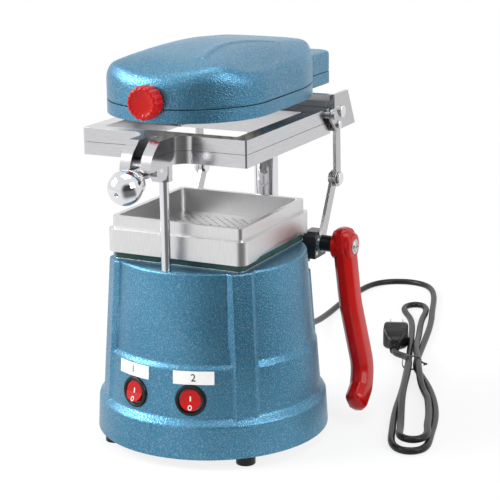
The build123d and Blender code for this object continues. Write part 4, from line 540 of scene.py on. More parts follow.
# ---------------------------------------------------------------- studio
@dataclass
class Studio:
    """Camera, lamps, floor and the pale surroundings."""

    location: Triple = (651.911, -1224.669, 528.433)
    right: Triple = (0.89543184, 0.44503261, -0.01215713)
    up: Triple = (-0.10283159, 0.23331771, 0.96694804)
    forward: Triple = (-0.43315988, 0.86458593, -0.25468352)
    lens: float = 118.866
    floor_half: float = 6.0
    sky: float = 0.44
    dim_side: Triple = (0.788, -0.616, 0.0)
    dim_cosines: tuple[float, float] = (0.58, 0.90)
    dim_heights: tuple[float, float] = (0.42, 0.80)
    dim_reaches: tuple[float, float] = (0.16, 0.40)
    dimness: float = 0.93
    floor_dimness: float = 0.05
    floor_glow: float = 0.8
    mirror_glow: float = 0.85
    fade_reaches: tuple[float, float] = (0.6, 1.4)
    paper: tuple[Triple, Triple] = ((0.90, 0.90, 0.90), (0.93, 0.93, 0.93))
    lamps: Sequence[tuple[str, Triple, float, float]] = (
        ("key", (-1.6, -0.9, 1.3), 1.2, 50.0),
        ("fill", (1.9, -0.3, 1.1), 1.2, 20.0),
        ("top", (0.1, 0.2, 2.2), 1.4, 14.0),
    )

    def camera(self) -> None:
        """Create the camera and make it the scene's."""
        data = bpy.data.cameras.new("view")
        data.lens = self.lens
        data.sensor_width = 36.0
        data.clip_start = 0.05
        data.clip_end = 60.0
        camera = bpy.data.objects.new("view", data)
        bpy.context.scene.collection.objects.link(camera)
        back = -Vector(self.forward)
        turn = Matrix((Vector(self.right), Vector(self.up), back)).transposed().to_4x4()
        camera.matrix_world = Matrix.Translation(Vector(self.location) * MM) @ turn
        bpy.context.scene.camera = camera

    def lamp(self, name: str, place: Triple, size: float, power: float) -> None:
        """Add a soft square lamp that looks at the object.

        Args:
            name: Lamp's name.
            place: Its place in metres.
            size: Its side in metres.
            power: Its power in watts.
        """
        data = bpy.data.lights.new(name, "AREA")
        data.size = size
        data.energy = power
        lamp = bpy.data.objects.new(name, data)
        bpy.context.scene.collection.objects.link(lamp)
        aim = Vector((0.0, 0.0, 0.17)) - Vector(place)
        lamp.rotation_euler = aim.to_track_quat("-Z", "Y").to_euler()
        lamp.location = place

    def dimming(self, graph: Graph, direction: Wire) -> Wire:
        """How far a level direction lies in the dim side."""
        sockets = {0: direction, 1: self.dim_side}
        ahead = graph.node("ShaderNodeVectorMath", {"operation": "DOT_PRODUCT"}, sockets, "Value")
        return ahead.between(*self.dim_cosines)

    @staticmethod
    def rays(graph: Graph) -> tuple[Wire, Wire]:
        """Whether a ray comes from the camera, and whether from a mirroring surface."""
        outputs = graph.node("ShaderNodeLightPath").socket.node.outputs
        return Wire(graph, outputs["Is Camera Ray"]), Wire(graph, outputs["Is Glossy Ray"])

    def world(self) -> None:
        """Plain pale surroundings, with a dim side that polished metal mirrors."""
        graph = Graph("surroundings", True)
        bpy.context.scene.world = graph.material
        direction = graph.node("ShaderNodeTexCoord", out="Generated")
        height = graph.node("ShaderNodeSeparateXYZ", None, {0: direction}, 2)
        dim = self.dimming(graph, direction) * (1.0 - height.between(*self.dim_heights))
        camera, mirror = self.rays(graph)
        mirrored = 1.0 - self.dimness * dim
        strength = camera + (1.0 - camera) * (mirror * mirrored + (1.0 - mirror) * self.sky)
        light = graph.node("ShaderNodeBackground", None, {"Color": (1.0, 1.0, 1.0), "Strength": strength})
        graph.close(light)

    def floor(self) -> None:
        """White floor that keeps the object's shadow and shows the dim side in polished metal."""
        half = self.floor_half / MM
        corners = [(-half, -half, 0), (half, -half, 0), (half, half, 0), (-half, half, 0)]
        piece = Mesh().add(corners, [(0, 1, 2, 3)]).built("floor")
        graph = Graph("FloorPaper")
        tone = graph.mix(graph.noise(60.0, 3.0), *self.paper)
        paper = graph.node("ShaderNodeBsdfDiffuse", None, {"Color": tone})
        spot = graph.node("ShaderNodeNewGeometry", out="Position")
        level = graph.node("ShaderNodeVectorMath", {"operation": "NORMALIZE"}, {0: spot})
        reach = graph.node("ShaderNodeVectorMath", {"operation": "LENGTH"}, {0: spot}, "Value")
        dim = self.dimming(graph, level) * reach.between(*self.dim_reaches)
        camera, mirror = self.rays(graph)
        strength = 1.0 - mirror * (self.floor_dimness + self.dimness * dim)
        glow = graph.node("ShaderNodeEmission", None, {"Color": (1.0, 1.0, 1.0), "Strength": strength})
        clear = self.floor_glow + (1.0 - self.floor_glow) * reach.between(*self.fade_reaches)
        share = camera * clear + mirror * self.mirror_glow
        graph.close(graph.node("ShaderNodeMixShader", None, {0: share, 1: paper, 2: glow}))
        piece.data.materials.append(graph.material)

    def build(self) -> None:
        """Set up everything around the object."""
        bpy.context.scene.view_settings.view_transform = "Standard"
        self.camera()
        self.world()
        self.floor()
        for lamp in self.lamps:
            self.lamp(*lamp)


# ---------------------------------------------------------------- mains lead
@dataclass
class Lead:
    """Mains cord with its strain relief, tied hank and plug."""

    radius: float = 3.25
    far_end: tuple[float, float] = (40.5, 413.5)
    along: tuple[float, float] = (0.33150, -0.94345)
    aside: tuple[float, float] = (0.94345, 0.33150)
    gland_face: float = 94.227
    gland_height: float = 58.0
    route: Sequence[Triple] = (
        (0, 107.227, 58), (0, 131.227, 58), (-4, 160, 53.5), (-13, 200, 41), (-24, 246, 24), (-34, 296, 9.5),
        (-42, 348, 3.3), (-46, 398, 3.5), (-46.5, 440, 3.3), (-43, 476.9, 3.5), (-27.3, 497.3, 3.3),
        (-2.4, 504, 3.5), (21.4, 494.1, 3.3), (40, 458, 3.5), (57.266, 403.492, 3.3), (67.211, 375.189, 3.3),
    )
    first_turn: Sequence[tuple[float, float]] = (
        (80, 10.6), (120, 6.8), (165, 2), (204, -1.2), (230, 5.6), (262, 13.2), (296, 18.6), (327, 20.9),
        (355, 20.6), (380, 18.2), (400, 16.6), (413, 15), (422.5, 10.6), (427, 3.2), (426.4, -5.2),
        (420, -12), (409, -15.6), (397, -16.4), (384, -16.2), (358, -16.2), (327, -15.2), (280, -11.3),
        (240, -9.4), (204, -8.2), (165, -7.6), (110, -7.2),
    )
    first_height: float = 3.35
    second_turn: Sequence[Triple] = (
        (66, -7.6, 3.35), (42, -10.5, 3.35), (22, -16.2, 3.35), (8, -18.6, 3.35), (-4, -15, 3.35),
        (-9.5, -6.5, 3.35), (-6.5, 1.6, 3.35), (5, 6.0, 3.35), (22, 5.6, 3.35), (42, 2.6, 3.35),
        (66, 1, 3.35), (110, 0.2, 3.4), (140, -1.2, 6.9), (165, -1.6, 9.3), (185, 0.2, 9.95),
        (204, 1.6, 10.05), (234, 3.6, 9.9), (262, 5.6, 7.8), (282, 9.6, 5.6), (302, 13.2, 6.8),
        (328, 14.6, 7.0), (354, 15.2, 8.4), (379, 14.2, 9.6), (393, 15, 9.9), (405, 14.2, 9.9),
        (413.5, 10.2, 9.9), (417.2, 3.6, 9.9), (415.4, -3.6, 9.9), (408, -8.4, 9.4), (396, -9.6, 7.6),
        (379, -9.1, 5.2), (354, -9.5, 5.6), (328, -10, 7.8), (302, -10, 9.4), (275, -9, 9.95),
        (240, -7.2, 9.95), (208, -6.6, 9.95),
    )
    tail: Sequence[Triple] = ((193, -9, 9.6), (179, -18.5, 7.4), (168, -23, 6.1), (156, -23, 6.0))
    length: float = 2.134
    tie_place: float = 204.0
    tie_middle: tuple[float, float] = (-4.1, 7.5)
    tie_halves: tuple[float, float] = (9.0, 6.6)
    tie_squareness: float = 3.2
    plug_aside: float = -23.0
    blades_aside: tuple[float, float] = (-29.35, -16.65)

    def spot(self, s: float, t: float, z: float) -> Vector:
        """Point on the bench, s along the hank from its far end and t to its right."""
        x = self.far_end[0] + s * self.along[0] + t * self.aside[0]
        y = self.far_end[1] + s * self.along[1] + t * self.aside[1]
        return Vector((x, y, z))

    def cord(self) -> bpy.types.Object:
        """The whole cord as one spline."""
        points = [Vector(point) for point in self.route]
        points += [self.spot(*place, self.first_height) for place in self.first_turn]
        points += [self.spot(*place) for place in (*self.second_turn, *self.tail)]
        data = bpy.data.curves.new("mains_cord", "CURVE")
        data.dimensions = "3D"
        data.resolution_u = 12
        data.bevel_depth = self.radius * MM
        data.bevel_resolution = 5
        data.use_fill_caps = True
        spline = data.splines.new("NURBS")
        spline.points.add(len(points) - 1)
        for target, point in zip(spline.points, points):
            target.co = (*(point * MM), 1.0)
        spline.order_u = 3
        spline.use_endpoint_u = True
        made = bpy.data.objects.new("mains_cord", data)
        bpy.context.scene.collection.objects.link(made)
        return wear(made, Slot.BLACK_RUBBER, "base", "power_cord", "cord_hank")

    def tie(self) -> bpy.types.Object:
        """Plastic-covered wire tie with its twisted end."""
        mesh = Mesh()
        rings = []
        wire = ((-1.9, 0.0), (-1.9, 0.45), (-0.6, 0.7), (0.6, 0.7), (1.9, 0.45), (1.9, 0.0))
        power = self.tie_squareness
        for step in range(48):
            angle = 2 * math.pi * step / 48
            reach = (abs(math.cos(angle)) ** power + abs(math.sin(angle)) ** power) ** (-1 / power)
            t = self.tie_middle[0] + self.tie_halves[0] * reach * math.cos(angle)
            z = self.tie_middle[1] + self.tie_halves[1] * reach * math.sin(angle)
            out = Vector((math.cos(angle), math.sin(angle)))
            rings.append([self.spot(self.tie_place + width, t + thick * out.x, z + thick * out.y)
                          for width, thick in wire])
        mesh.rings(rings, ends_meet=True)
        twist = []
        for step in range(28):
            part = step / 27
            angle = 5.6 * part
            along = self.tie_place + 4.0 * math.sin(angle) * part
            centre = Vector((along, 5.2 + 4.6 * (1 - math.cos(angle * 0.9)) * 0.62, 9.0 - 4.5 * part))
            ring = []
            for corner in range(8):
                turn = 2 * math.pi * corner / 8 + 6 * part
                s, z = centre.x + 0.95 * math.cos(turn), centre.z + 0.95 * math.sin(turn)
                ring.append(self.spot(s, centre.y, z))
            twist.append(ring)
        mesh.rings(twist)
        return wear(shade(mesh.built("wire_tie"), 60), Slot.BLACK_PLASTIC, "base", "cord_tie")

    def plug(self) -> bpy.types.Object:
        """Moulded three-pin plug with grip ribs and a ringed strain relief."""
        def section(s: float, half: float, low: float, high: float, corner: float) -> list[Vector]:
            """Rounded outline of the plug at s."""
            ring = []
            for sx, sz, start in ((1, 1, 0), (-1, 1, 90), (-1, -1, 180), (1, -1, 270)):
                for step in range(6):
                    angle = math.radians(start + 18 * step)
                    t = self.plug_aside + sx * (half - corner) + corner * math.cos(angle)
                    z = (high - corner if sz > 0 else low + corner) + corner * math.sin(angle)
                    ring.append(self.spot(s, t, z))
            return ring
        mesh = Mesh()
        body = [(112.7, 11.3, 1.2, 19.8, 3.0), (113.4, 12.3, 0.3, 20.8, 3.4), (114.2, 12.5, 0.02, 21.0, 3.6)]
        for rib in range(5):
            s = 119 + 3.6 * rib
            body += [(s, 12.5, 0.02, 21.0, 3.6), (s + 0.5, 11.7, 0.7, 20.2, 3.4),
                     (s + 1.6, 11.7, 0.7, 20.2, 3.4), (s + 2.1, 12.4, 0.02, 20.9, 3.6)]
        body += [(138, 11.6, 0.1, 19.0, 3.6), (141.3, 8.6, 0.3, 14.6, 3.4), (144, 6.0, 0.4, 11.9, 3.2)]
        for ring_step in range(5):
            s = 147 + 3.4 * ring_step
            reach = 5.6 - 0.28 * ring_step
            body += [(s, reach, 6 - reach, 6 + reach, reach * 0.9),
                     (s + 1.3, reach, 6 - reach, 6 + reach, reach * 0.9),
                     (s + 1.7, reach - 1.1, 7.1 - reach, 4.9 + reach, (reach - 1.1) * 0.9),
                     (s + 3.0, reach - 1.1, 7.1 - reach, 4.9 + reach, (reach - 1.1) * 0.9)]
        body += [(164.2, 3.7, 2.3, 9.7, 3.4)]
        mesh.rings([section(*row) for row in body])
        return wear(shade(mesh.built("plug_body"), 40), Slot.BLACK_RUBBER, "base", "plug")

    def pins(self) -> bpy.types.Object:
        """Two flat blades and the round earth pin."""
        mesh = Mesh()
        for t in self.blades_aside:
            rings = []
            for s, shrink in ((114.0, 0.0), (97.0, 0.0), (95.7, 0.35), (95.2, 0.9)):
                half, tall = 0.75 - 0.5 * shrink, 3.25 - shrink
                rings.append([self.spot(s, t + sx * half, 15.5 + sz * tall) for sx, sz in SQUARE])
            mesh.rings(rings)
        start = self.spot(114, self.plug_aside, 6.5)
        away = self.spot(92.2, self.plug_aside, 6.5) - start
        mesh.lathe([(2.4, 0), (2.4, 19.0), (2.0, 20.6), (1.1, 21.6), (0.2, 21.8)], facing(start, away), 32)
        return wear(shade(mesh.built("plug_pins")), Slot.SCREW_STEEL, "base")

    def relief(self) -> bpy.types.Object:
        """Threaded gland nut and ribbed tapered sleeve round the cord."""
        place = facing((0, self.gland_face, self.gland_height), (0, 1, 0))
        mesh = Mesh()

        def hexagon(angle: float, height: float) -> float:
            """Flats of the nut."""
            if height < -0.5 or height > 5.2:
                return 1.0
            return 0.9 + 0.1 * abs(math.cos(3 * angle)) ** 0.5
        nut = [(3.4, -0.6), (6.3, -0.6), (6.5, 0.1), (6.5, 4.4), (6.1, 5.0), (5.6, 5.2)]
        mesh.lathe(nut, place, 72, hexagon)
        profile = [(3.4, 4.8), (5.4, 4.8)]
        for step in range(6):
            height = 5.4 + 3.2 * step
            reach = 5.3 - 0.22 * step
            profile += [(reach, height), (reach, height + 1.7),
                        (reach - 0.8, height + 2.0), (reach - 0.8, height + 2.9)]
        profile += [(3.8, 24.8), (3.45, 25.6), (3.3, 25.6)]
        mesh.lathe(profile, place, 48)
        return wear(shade(mesh.built("cord_relief"), 40), Slot.BLACK_PLASTIC, "base", "cord_gland")

    def build(self) -> None:
        cord = self.cord()
        tie = self.tie()
        plug = self.plug()
        pins = self.pins()
        relief = self.relief()


# ---------------------------------------------------------------- base
@dataclass
class Base:
    """Hammer-tone body casting and everything fixed to it."""

    top: float = 165.0
    foot: float = 9.0
    wall: float = 3.3
    deck: float = 5.0
    rim_round: float = 2.2
    taper: float = 0.073
    top_radius: float = 83.84
    band_top: float = 92.3
    shoulder: tuple[float, float] = (84.4, 88.2)
    flange: tuple[float, float] = (37.5, 42.5)
    flange_radii: tuple[float, float] = (101.8, 100.2)
    ribs: Sequence[tuple[float, float]] = ((-45, 165), (-135, 165), (45, 140), (135, 140))
    rib_stand: float = 4.0
    rib_half: float = 12.0
    rib_blend: float = 2.4
    saddle: tuple[Triple, Triple] = ((-42, 64.5, 148.4), (42, 80.0, 164.0))
    bridge_seat: tuple[Triple, Triple] = ((-60, 69.9, 153.4), (60, 100, 170))
    deck_radius: float = 78.0
    inlet_radius: float = 22.0
    rod_place: Triple = (0, -78.5, 0)
    rod_hole: Sequence[tuple[float, float]] = ((4.3, 120), (4.3, 170))
    switch_hole: Sequence[tuple[float, float]] = ((13.6, -1.05), (13.6, 8.0))
    gland_place: Triple = (0, Lead.gland_face, Lead.gland_height)
    gland_hole: Sequence[tuple[float, float]] = ((6.8, -0.6), (6.8, 8.0))
    columns: int = 640

    def outline(self, heights: np.ndarray) -> np.ndarray:
        """Radius of the plain body at each height, its corners softened."""
        low, high = self.shoulder
        z = [self.foot, self.flange[0], self.flange[1], low, high, self.top]
        r = [self.flange_radii[0], self.flange_radii[1], self.band_top + self.taper * (low - self.flange[1]),
             self.band_top, self.top_radius + self.taper * (self.top - high), self.top_radius]
        return np.mean([np.interp(heights + shift, z, r) for shift in np.linspace(-1.5, 1.5, 7)], axis=0)

    def rib_reach(self, angles: np.ndarray, height: float, azimuth: float, top: float) -> np.ndarray:
        """Distance from the axis to a rib's surface, by direction."""
        face = self.top_radius + self.taper * (self.top - height) + self.rib_stand
        face -= 3.0 * max(0.0, height - top + 0.5)
        off = np.abs((angles - math.radians(azimuth) + math.pi) % (2 * math.pi) - math.pi)
        off = np.clip(off, 1e-4, 1.2)
        flat = face / np.cos(off)
        slant = (8.4 + face) / (np.sin(off) + np.cos(off))
        side = self.rib_half / np.sin(off)
        return np.minimum(np.minimum(flat, slant), side)

    def skin_radius(self, angles: np.ndarray, height: float) -> np.ndarray:
        """Outer radius of the casting in every direction at one height."""
        blend = self.rib_blend
        reach = np.full(angles.shape, float(self.outline(np.array([height]))[0]))
        if height > self.flange[0] - 1.0:
            for azimuth, top in self.ribs:
                rib = self.rib_reach(angles, height, azimuth, top)
                near = np.maximum(blend - np.abs(reach - rib), 0.0) / blend
                reach = np.maximum(reach, rib) + near * near * blend / 4
        return reach

    def heights(self) -> list[float]:
        """Rows of the skin, closer together where it bends."""
        rows = list(np.arange(self.foot, 34.0, 2.5)) + list(np.arange(34.0, 46.0, 0.6))
        rows += list(np.arange(46.0, 81.0, 2.0)) + list(np.arange(81.0, 92.0, 0.5))
        rows += list(np.arange(92.0, 137.0, 2.0)) + list(np.arange(137.0, 144.0, 0.5))
        return rows + list(np.arange(144.0, self.top - self.rim_round - 0.3, 2.0))

    def skin(self) -> bpy.types.Object:
        """The casting: outer skin, rounded rim, deck, inner wall and openings."""
        angles = np.linspace(0, 2 * math.pi, self.columns, endpoint=False)
        cos, sin = np.cos(angles), np.sin(angles)

        def ring(radii: np.ndarray, z: float) -> list[Triple]:
            """Points at the given radii and one height."""
            return list(zip(radii * cos, radii * sin, np.full(angles.shape, z)))
        rings = [ring(self.skin_radius(angles, z), z) for z in self.heights()]
        crown = self.skin_radius(angles, self.top - self.rim_round)
        for step in range(8):
            turn = math.radians(90 * step / 7)
            inset, drop = self.rim_round * (1 - math.cos(turn)), self.rim_round * (1 - math.sin(turn))
            rings.append(ring(crown - inset, self.top - drop))
        plain = np.full(angles.shape, 1.0)
        rings += [ring(plain * self.deck_radius, self.top), ring(plain * self.inlet_radius, self.top),
                  ring(plain * self.inlet_radius, self.top - self.deck),
                  ring(plain * (self.top_radius - self.wall), self.top - self.deck)]
        bends = (*reversed(self.shoulder), *reversed(self.flange))
        for z in (*(bend - 2 for bend in bends), self.foot):
            rings.append(ring(plain * (float(self.outline(np.array([z]))[0]) - self.wall), z))
        mesh = Mesh()
        mesh.rings(rings, ends_meet=True)
        piece = mesh.built("body_casting")
        carved(piece, boxed(Mesh(), *self.saddle).built("saddle"), "UNION")
        tool = boxed(Mesh(), *self.bridge_seat)
        tool.lathe(self.rod_hole, Matrix.Translation(self.rod_place), 48)
        for side in (-1, 1):
            tool.lathe(self.switch_hole, Switches().seat(side), 72)
        tool.lathe(self.gland_hole, facing(self.gland_place, (0, 1, 0)), 48)
        carved(piece, tool.built("openings"))
        shade(piece, 38)
        return wear(piece, Slot.HAMMER_BLUE, "base", "base_housing")

    def build(self) -> None:
        """Make the base and its fittings."""
        self.skin()
        for node, name, width in (
            ("rubber_feet", "feet", 0.9),
            ("seat_plate", "seat", 0.25),
            ("tray_gasket", "gasket", 0.7),
            ("vacuum_tray", "tray", 0.9),
            ("rear_bridge", "bridge_casting", 1.2),
            ("bearing_blocks", "bearing_housings", 0.8),
        ):
            copied(node, name, width, "base")


# ---------------------------------------------------------------- switches
@dataclass
class Switches:
    """Two round rocker switches with their number plates."""

    azimuth: float = 16.4
    height: float = 59.0
    band_top: float = Base.band_top
    shoulder: float = Base.shoulder[0]
    taper: float = Base.taper
    plate_middle: float = 78.2
    plate_start: float = 11.5
    plate_length: float = 34.8
    plate_face: float = 0.52
    mark_rise: float = 0.12
    mark_sink: float = -0.2
    stroke_half: float = 0.55
    bezel: Sequence[tuple[float, float]] = (
        (0.5, -10.0), (9.95, -10.0), (9.95, 0.2), (10.15, 0.9), (10.6, 1.35), (11.4, 1.58), (12.2, 1.5),
        (12.9, 1.1), (13.25, 0.4), (13.3, -1.0), (10.9, -1.05), (10.9, -18.0), (0.5, -18.0),
    )

    def seat(self, side: int) -> Matrix:
        """Place of a switch on the band, z outward and y up."""
        turn = math.radians(-90 + side * self.azimuth)
        lean = math.atan(self.taper)
        reach = self.band_top + self.taper * (self.shoulder - self.height)
        out = (math.cos(turn), math.sin(turn))
        normal = (out[0] * math.cos(lean), out[1] * math.cos(lean), math.sin(lean))
        return facing((reach * out[0], reach * out[1], self.height), normal)

    def bezels(self) -> bpy.types.Object:
        """Both switch bodies with their rounded flanges."""
        mesh = Mesh()
        for side in (-1, 1):
            mesh.lathe(self.bezel, self.seat(side), 96)
        return wear(shade(mesh.built("switch_bezels"), 30), Slot.BLACK_PLASTIC, "base", "switch_bodies")

    def rocker(self, side: int) -> None:
        """A red rocker with its raised on and off marks."""
        body = "right_rocker" if side > 0 else "left_rocker"
        node = "rocker_right" if side > 0 else "rocker_left"
        piece = wear(cad_copy(node, body + "_cap", 0.6), Slot.RED_GLOSS, body, node)
        seat = self.seat(side)
        points = [vertex.co / MM for vertex in piece.data.vertices]
        tree = BVHTree.FromPolygons(points, [face.vertices for face in piece.data.polygons])

        def drop(x: float, y: float, lift: float) -> Vector:
            """Point on the rocker's face under a place of the seat, lifted off it."""
            start = seat @ Vector((x, y, 12.0))
            down = -(seat.to_3x3() @ Vector((0, 0, 1)))
            hit = tree.ray_cast(start, down)[0]
            return (hit if hit else seat @ Vector((x, y, 0))) - down * lift
        half, rise, sink = self.stroke_half, self.mark_rise, self.mark_sink
        mesh = Mesh()
        mesh.rings([[drop(-half, y, sink), drop(half, y, sink), drop(half, y, rise), drop(-half, y, rise)]
                    for y in np.linspace(-0.6, 3.6, 5)])
        rings = []
        for step in range(32):
            turn = 2 * math.pi * step / 32
            x, y = math.cos(turn), math.sin(turn)
            rings.append([drop(r * x * 0.85, -5.6 + r * y, lift)
                          for r, lift in ((1.3, sink), (1.3, rise), (2.1, rise), (2.1, sink))])
        mesh.rings(rings, ends_meet=True)
        wear(mesh.built(body + "_marks"), Slot.PLAIN_LABEL, body)

    def numeral(self, side: int) -> bpy.types.Object:
        """Plain number printed on a plate, bent to the band."""
        data = bpy.data.curves.new("numeral", "FONT")
        data.body = "2" if side > 0 else "1"
        data.size = 9.0
        data.align_x = "CENTER"
        data.align_y = "CENTER"
        data.extrude = 0.06
        loose = bpy.data.objects.new("numeral", data)
        bpy.context.scene.collection.objects.link(loose)
        bpy.context.view_layer.update()
        mesh = bpy.data.meshes.new_from_object(loose.evaluated_get(bpy.context.evaluated_depsgraph_get()))
        bpy.data.objects.remove(loose)
        middle = side * (self.plate_start + self.plate_length / 2)
        for vertex in mesh.vertices:
            x, y, z = vertex.co
            height = self.plate_middle + y
            reach = self.band_top + self.taper * (self.shoulder - height) + self.plate_face + z
            turn = math.radians(-90) + (middle + x) / self.band_top
            vertex.co = Vector((reach * math.cos(turn), reach * math.sin(turn), height)) * MM
        name = "right_numeral" if side > 0 else "left_numeral"
        piece = bpy.data.objects.new(name, mesh)
        bpy.context.scene.collection.objects.link(piece)
        tidy_mesh(piece)
        return wear(piece, Slot.BLACK_PLASTIC, "base")

    def build(self) -> None:
        """Make the switches and plates."""
        self.bezels()
        for side in (-1, 1):
            self.rocker(side)
            self.numeral(side)
        wear(cad_copy("switch_labels", "number_plates", 0.12), Slot.PLAIN_LABEL, "base", "switch_labels")


# ---------------------------------------------------------------- clamp frames
@dataclass
class ClampFrames:
    """Two polished frames, the swing bolt and its ball knob."""

    pivot: Triple = (0.0, -101.0, 255.0)
    drop: float = 11.0
    ball_offset: float = 40.0
    ball_radius: float = 14.0
    collar: Sequence[tuple[float, float]] = (
        (4.2, 24.6), (8.6, 24.6), (9.6, 25.2), (10.6, 26.0), (10.9, 27.0), (10.9, 30.2), (10.4, 30.9),
        (9.9, 31.1),
    )
    pole_hole: Sequence[tuple[float, float]] = ((1.35, 53.5), (1.2, 51.0), (0.1, 50.6))

    def knob(self) -> bpy.types.Object:
        """Chrome ball with a knurled collar and a small hole at its pole."""
        lean = math.radians(self.drop)
        place = facing(self.pivot, (0, -math.cos(lean), -math.sin(lean)))
        profile = list(self.collar)
        start = math.degrees(math.asin(profile[-1][0] / self.ball_radius))
        for step in range(28):
            turn = math.radians(180 - start - (180 - start - 7.0) * step / 27)
            height = self.ball_offset + self.ball_radius * math.cos(turn)
            profile.append((self.ball_radius * math.sin(turn), height))
        profile += self.pole_hole

        def knurl(angle: float, height: float) -> float:
            """Fine teeth round the collar."""
            return 1.0 + (0.022 * math.cos(40 * angle) if 25.6 < height < 30.6 else 0.0)
        mesh = Mesh()
        mesh.lathe(profile, place, 240, knurl)
        return wear(shade(mesh.built("ball_knob"), 34), Slot.CHROME, "knob", "clamp_knob")

    def build(self) -> None:
        """Make the frames and the bolt."""
        copied("lower_frame", "clamp_frame_low", 0.7, "carriage")
        copied("upper_frame", "clamp_frame_top", 0.7, "upper_clamp")
        copied("hinge_plates", "hinge_cheeks", 0.4, "upper_clamp")
        copied("swing_bolt", "clamp_bolt_shank", 0.5, "clamp_bolt")
        self.knob()


# ---------------------------------------------------------------- lift linkage
@dataclass
class Linkage:
    """Cranks, links, bracket and the red lever."""

    grip_origin: Triple = (94.0, 76.0, 159.5)
    cant: float = 6.7
    boss_start: float = 84.6
    boss_end: float = 103.5
    path: Sequence[tuple[float, float]] = ((0, -16), (-1, 52), (11, 114), (2.5, 131.5), (-16, 143.5))
    bends: Sequence[float] = (90.0, 30.0, 12.0)
    half_wide: float = 11.5
    half_thick: float = 8.5
    nub_place: float = 17.0
    nub_rise: float = 1.7
    waist_place: float = 62.0
    screw_head: Sequence[tuple[float, float]] = (
        (0.3, 0.0), (6.5, 0.0), (6.5, 0.7), (6.2, 0.9), (4.9, 0.95), (4.8, 1.2), (4.3, 1.9), (3.0, 2.3),
        (0.3, 2.4),
    )
    slot_halves: tuple[float, float] = (2.6, 0.45)
    slot_floor: float = 1.1

    def filleted(self) -> list[tuple[float, float]]:
        """Path of the blade with its bends rounded, a point every few millimetres."""
        points = [Vector(p) for p in self.path]
        line = [points[0]]
        for index, radius in enumerate(self.bends, 1):
            before = (points[index - 1] - points[index]).normalized()
            after = (points[index + 1] - points[index]).normalized()
            half = before.angle(after) / 2
            reach = radius / math.tan(half)
            bisector = (before + after).normalized()
            centre = points[index] + bisector * (radius / math.sin(half))
            start = points[index] + before * reach - centre
            end = points[index] + after * reach - centre
            for step in range(9):
                part = step / 8
                arm = (start * (1 - part) + end * part).normalized() * radius
                line.append(centre + arm)
        line.append(points[-1])
        fine = [line[0]]
        for target in line[1:]:
            gap = (target - fine[-1]).length
            count = max(1, int(gap / 2.0))
            base = fine[-1]
            fine += [base + (target - base) * (k + 1) / count for k in range(count)]
        return [tuple(p) for p in fine]

    def section(self, wide: float, thick: float) -> list[tuple[float, float]]:
        """Chamfered outline of the blade: u to the rear, v inward."""
        chamfer = 0.42 * min(wide, thick * 1.35)
        narrow, thin = wide - chamfer, thick - chamfer
        corners = [(wide, thin), (narrow, thick), (-narrow, thick), (-wide, thin),
                   (-wide, -thin), (-narrow, -thick), (narrow, -thick), (wide, -thin)]
        ring = []
        for index, corner in enumerate(corners):
            here = Vector(corner)
            before = Vector(corners[index - 1]) - here
            after = Vector(corners[(index + 1) % 8]) - here
            bend = 0.2 * min(before.length, after.length, 6.0)
            before.normalize()
            after.normalize()
            ring.append(here + before * bend)
            ring.append(here + (before + after) * bend * 0.16)
            ring.append(here + after * bend)
        return [tuple(p) for p in ring]

    def handle(self) -> bpy.types.Object:
        """Glossy lever blade and boss."""
        lean = math.radians(self.cant)
        along = Vector((0.0, 1.0, 0.0))
        down = Vector((math.sin(lean), 0.0, -math.cos(lean)))
        inward = Vector((-math.cos(lean), 0.0, -math.sin(lean)))
        origin = Vector(self.grip_origin)
        line = [Vector(p) for p in self.filleted()]
        rings = []
        travelled = 0.0
        total = sum((b - a).length for a, b in zip(line, line[1:]))
        for index, point in enumerate(line):
            if index:
                travelled += (point - line[index - 1]).length
            ahead = (line[min(index + 1, len(line) - 1)] - line[max(index - 1, 0)]).normalized()
            side = Vector((ahead.y, -ahead.x))
            top = math.sqrt(max(0.0, 1 - max(0.0, 1 - travelled / 8.0) ** 2))
            tip = math.sqrt(max(0.0, 1 - max(0.0, 1 - (total - travelled) / 7.0) ** 2))
            full = max(0.12, min(0.45 + 0.55 * top, 0.35 + 0.65 * tip))
            waist = 1.0 - 0.06 * math.exp(-((travelled - self.waist_place) / 22) ** 2)
            ring = []
            for u, v in self.section(self.half_wide * full * waist, self.half_thick * full):
                nub = self.nub_rise * math.exp(-((travelled - self.nub_place) / 3.2) ** 2) if u < -8 else 0.0
                flat = point + side * (u - nub)
                ring.append(origin + along * flat.x + down * flat.y + inward * v)
            rings.append(ring)
        mesh = Mesh()
        mesh.rings(rings)
        blade = mesh.built("lever_grip")
        carved(blade, self.boss().built("boss"), "UNION")
        shade(blade, 33)
        return wear(blade, Slot.RED_GLOSS, "lever", "lever_handle")

    def boss(self) -> Mesh:
        """Round boss of the lever, faintly eight-sided."""
        place = facing((self.boss_start, self.grip_origin[1], self.grip_origin[2]), (1, 0, 0))
        length = self.boss_end - self.boss_start
        profile = [(0.4, 0.0), (11.6, 0.0), (12.4, 0.8), (12.5, 1.6), (12.5, length - 2.4),
                   (12.0, length - 1.0), (11.0, length - 0.2), (9.8, length), (0.4, length)]

        def octagon(angle: float, height: float) -> float:
            """Flats of the boss."""
            return 1.0 - 0.028 * (1 - abs(math.cos(4 * angle))) if height > 1.0 else 1.0
        return Mesh().lathe(profile, place, 96, octagon)

    def screw(self) -> bpy.types.Object:
        """Cross-slotted screw and washer on the lever's boss."""
        place = facing((self.boss_end, self.grip_origin[1], self.grip_origin[2]), (1, 0, 0))
        piece = Mesh().lathe(self.screw_head, place, 72).built("lever_screw")
        for long, wide in (self.slot_halves, self.slot_halves[::-1]):
            tool = Mesh().rings([[place @ Vector((x * long, y * wide, z)) for x, y in SQUARE]
                                 for z in (self.slot_floor, 4.0)])
            carved(piece, tool.built("cross"))
        LOG.info("lever screw has %d faces", len(piece.data.polygons))
        return wear(shade(piece), Slot.SCREW_STEEL, "lever", "handle_screw")

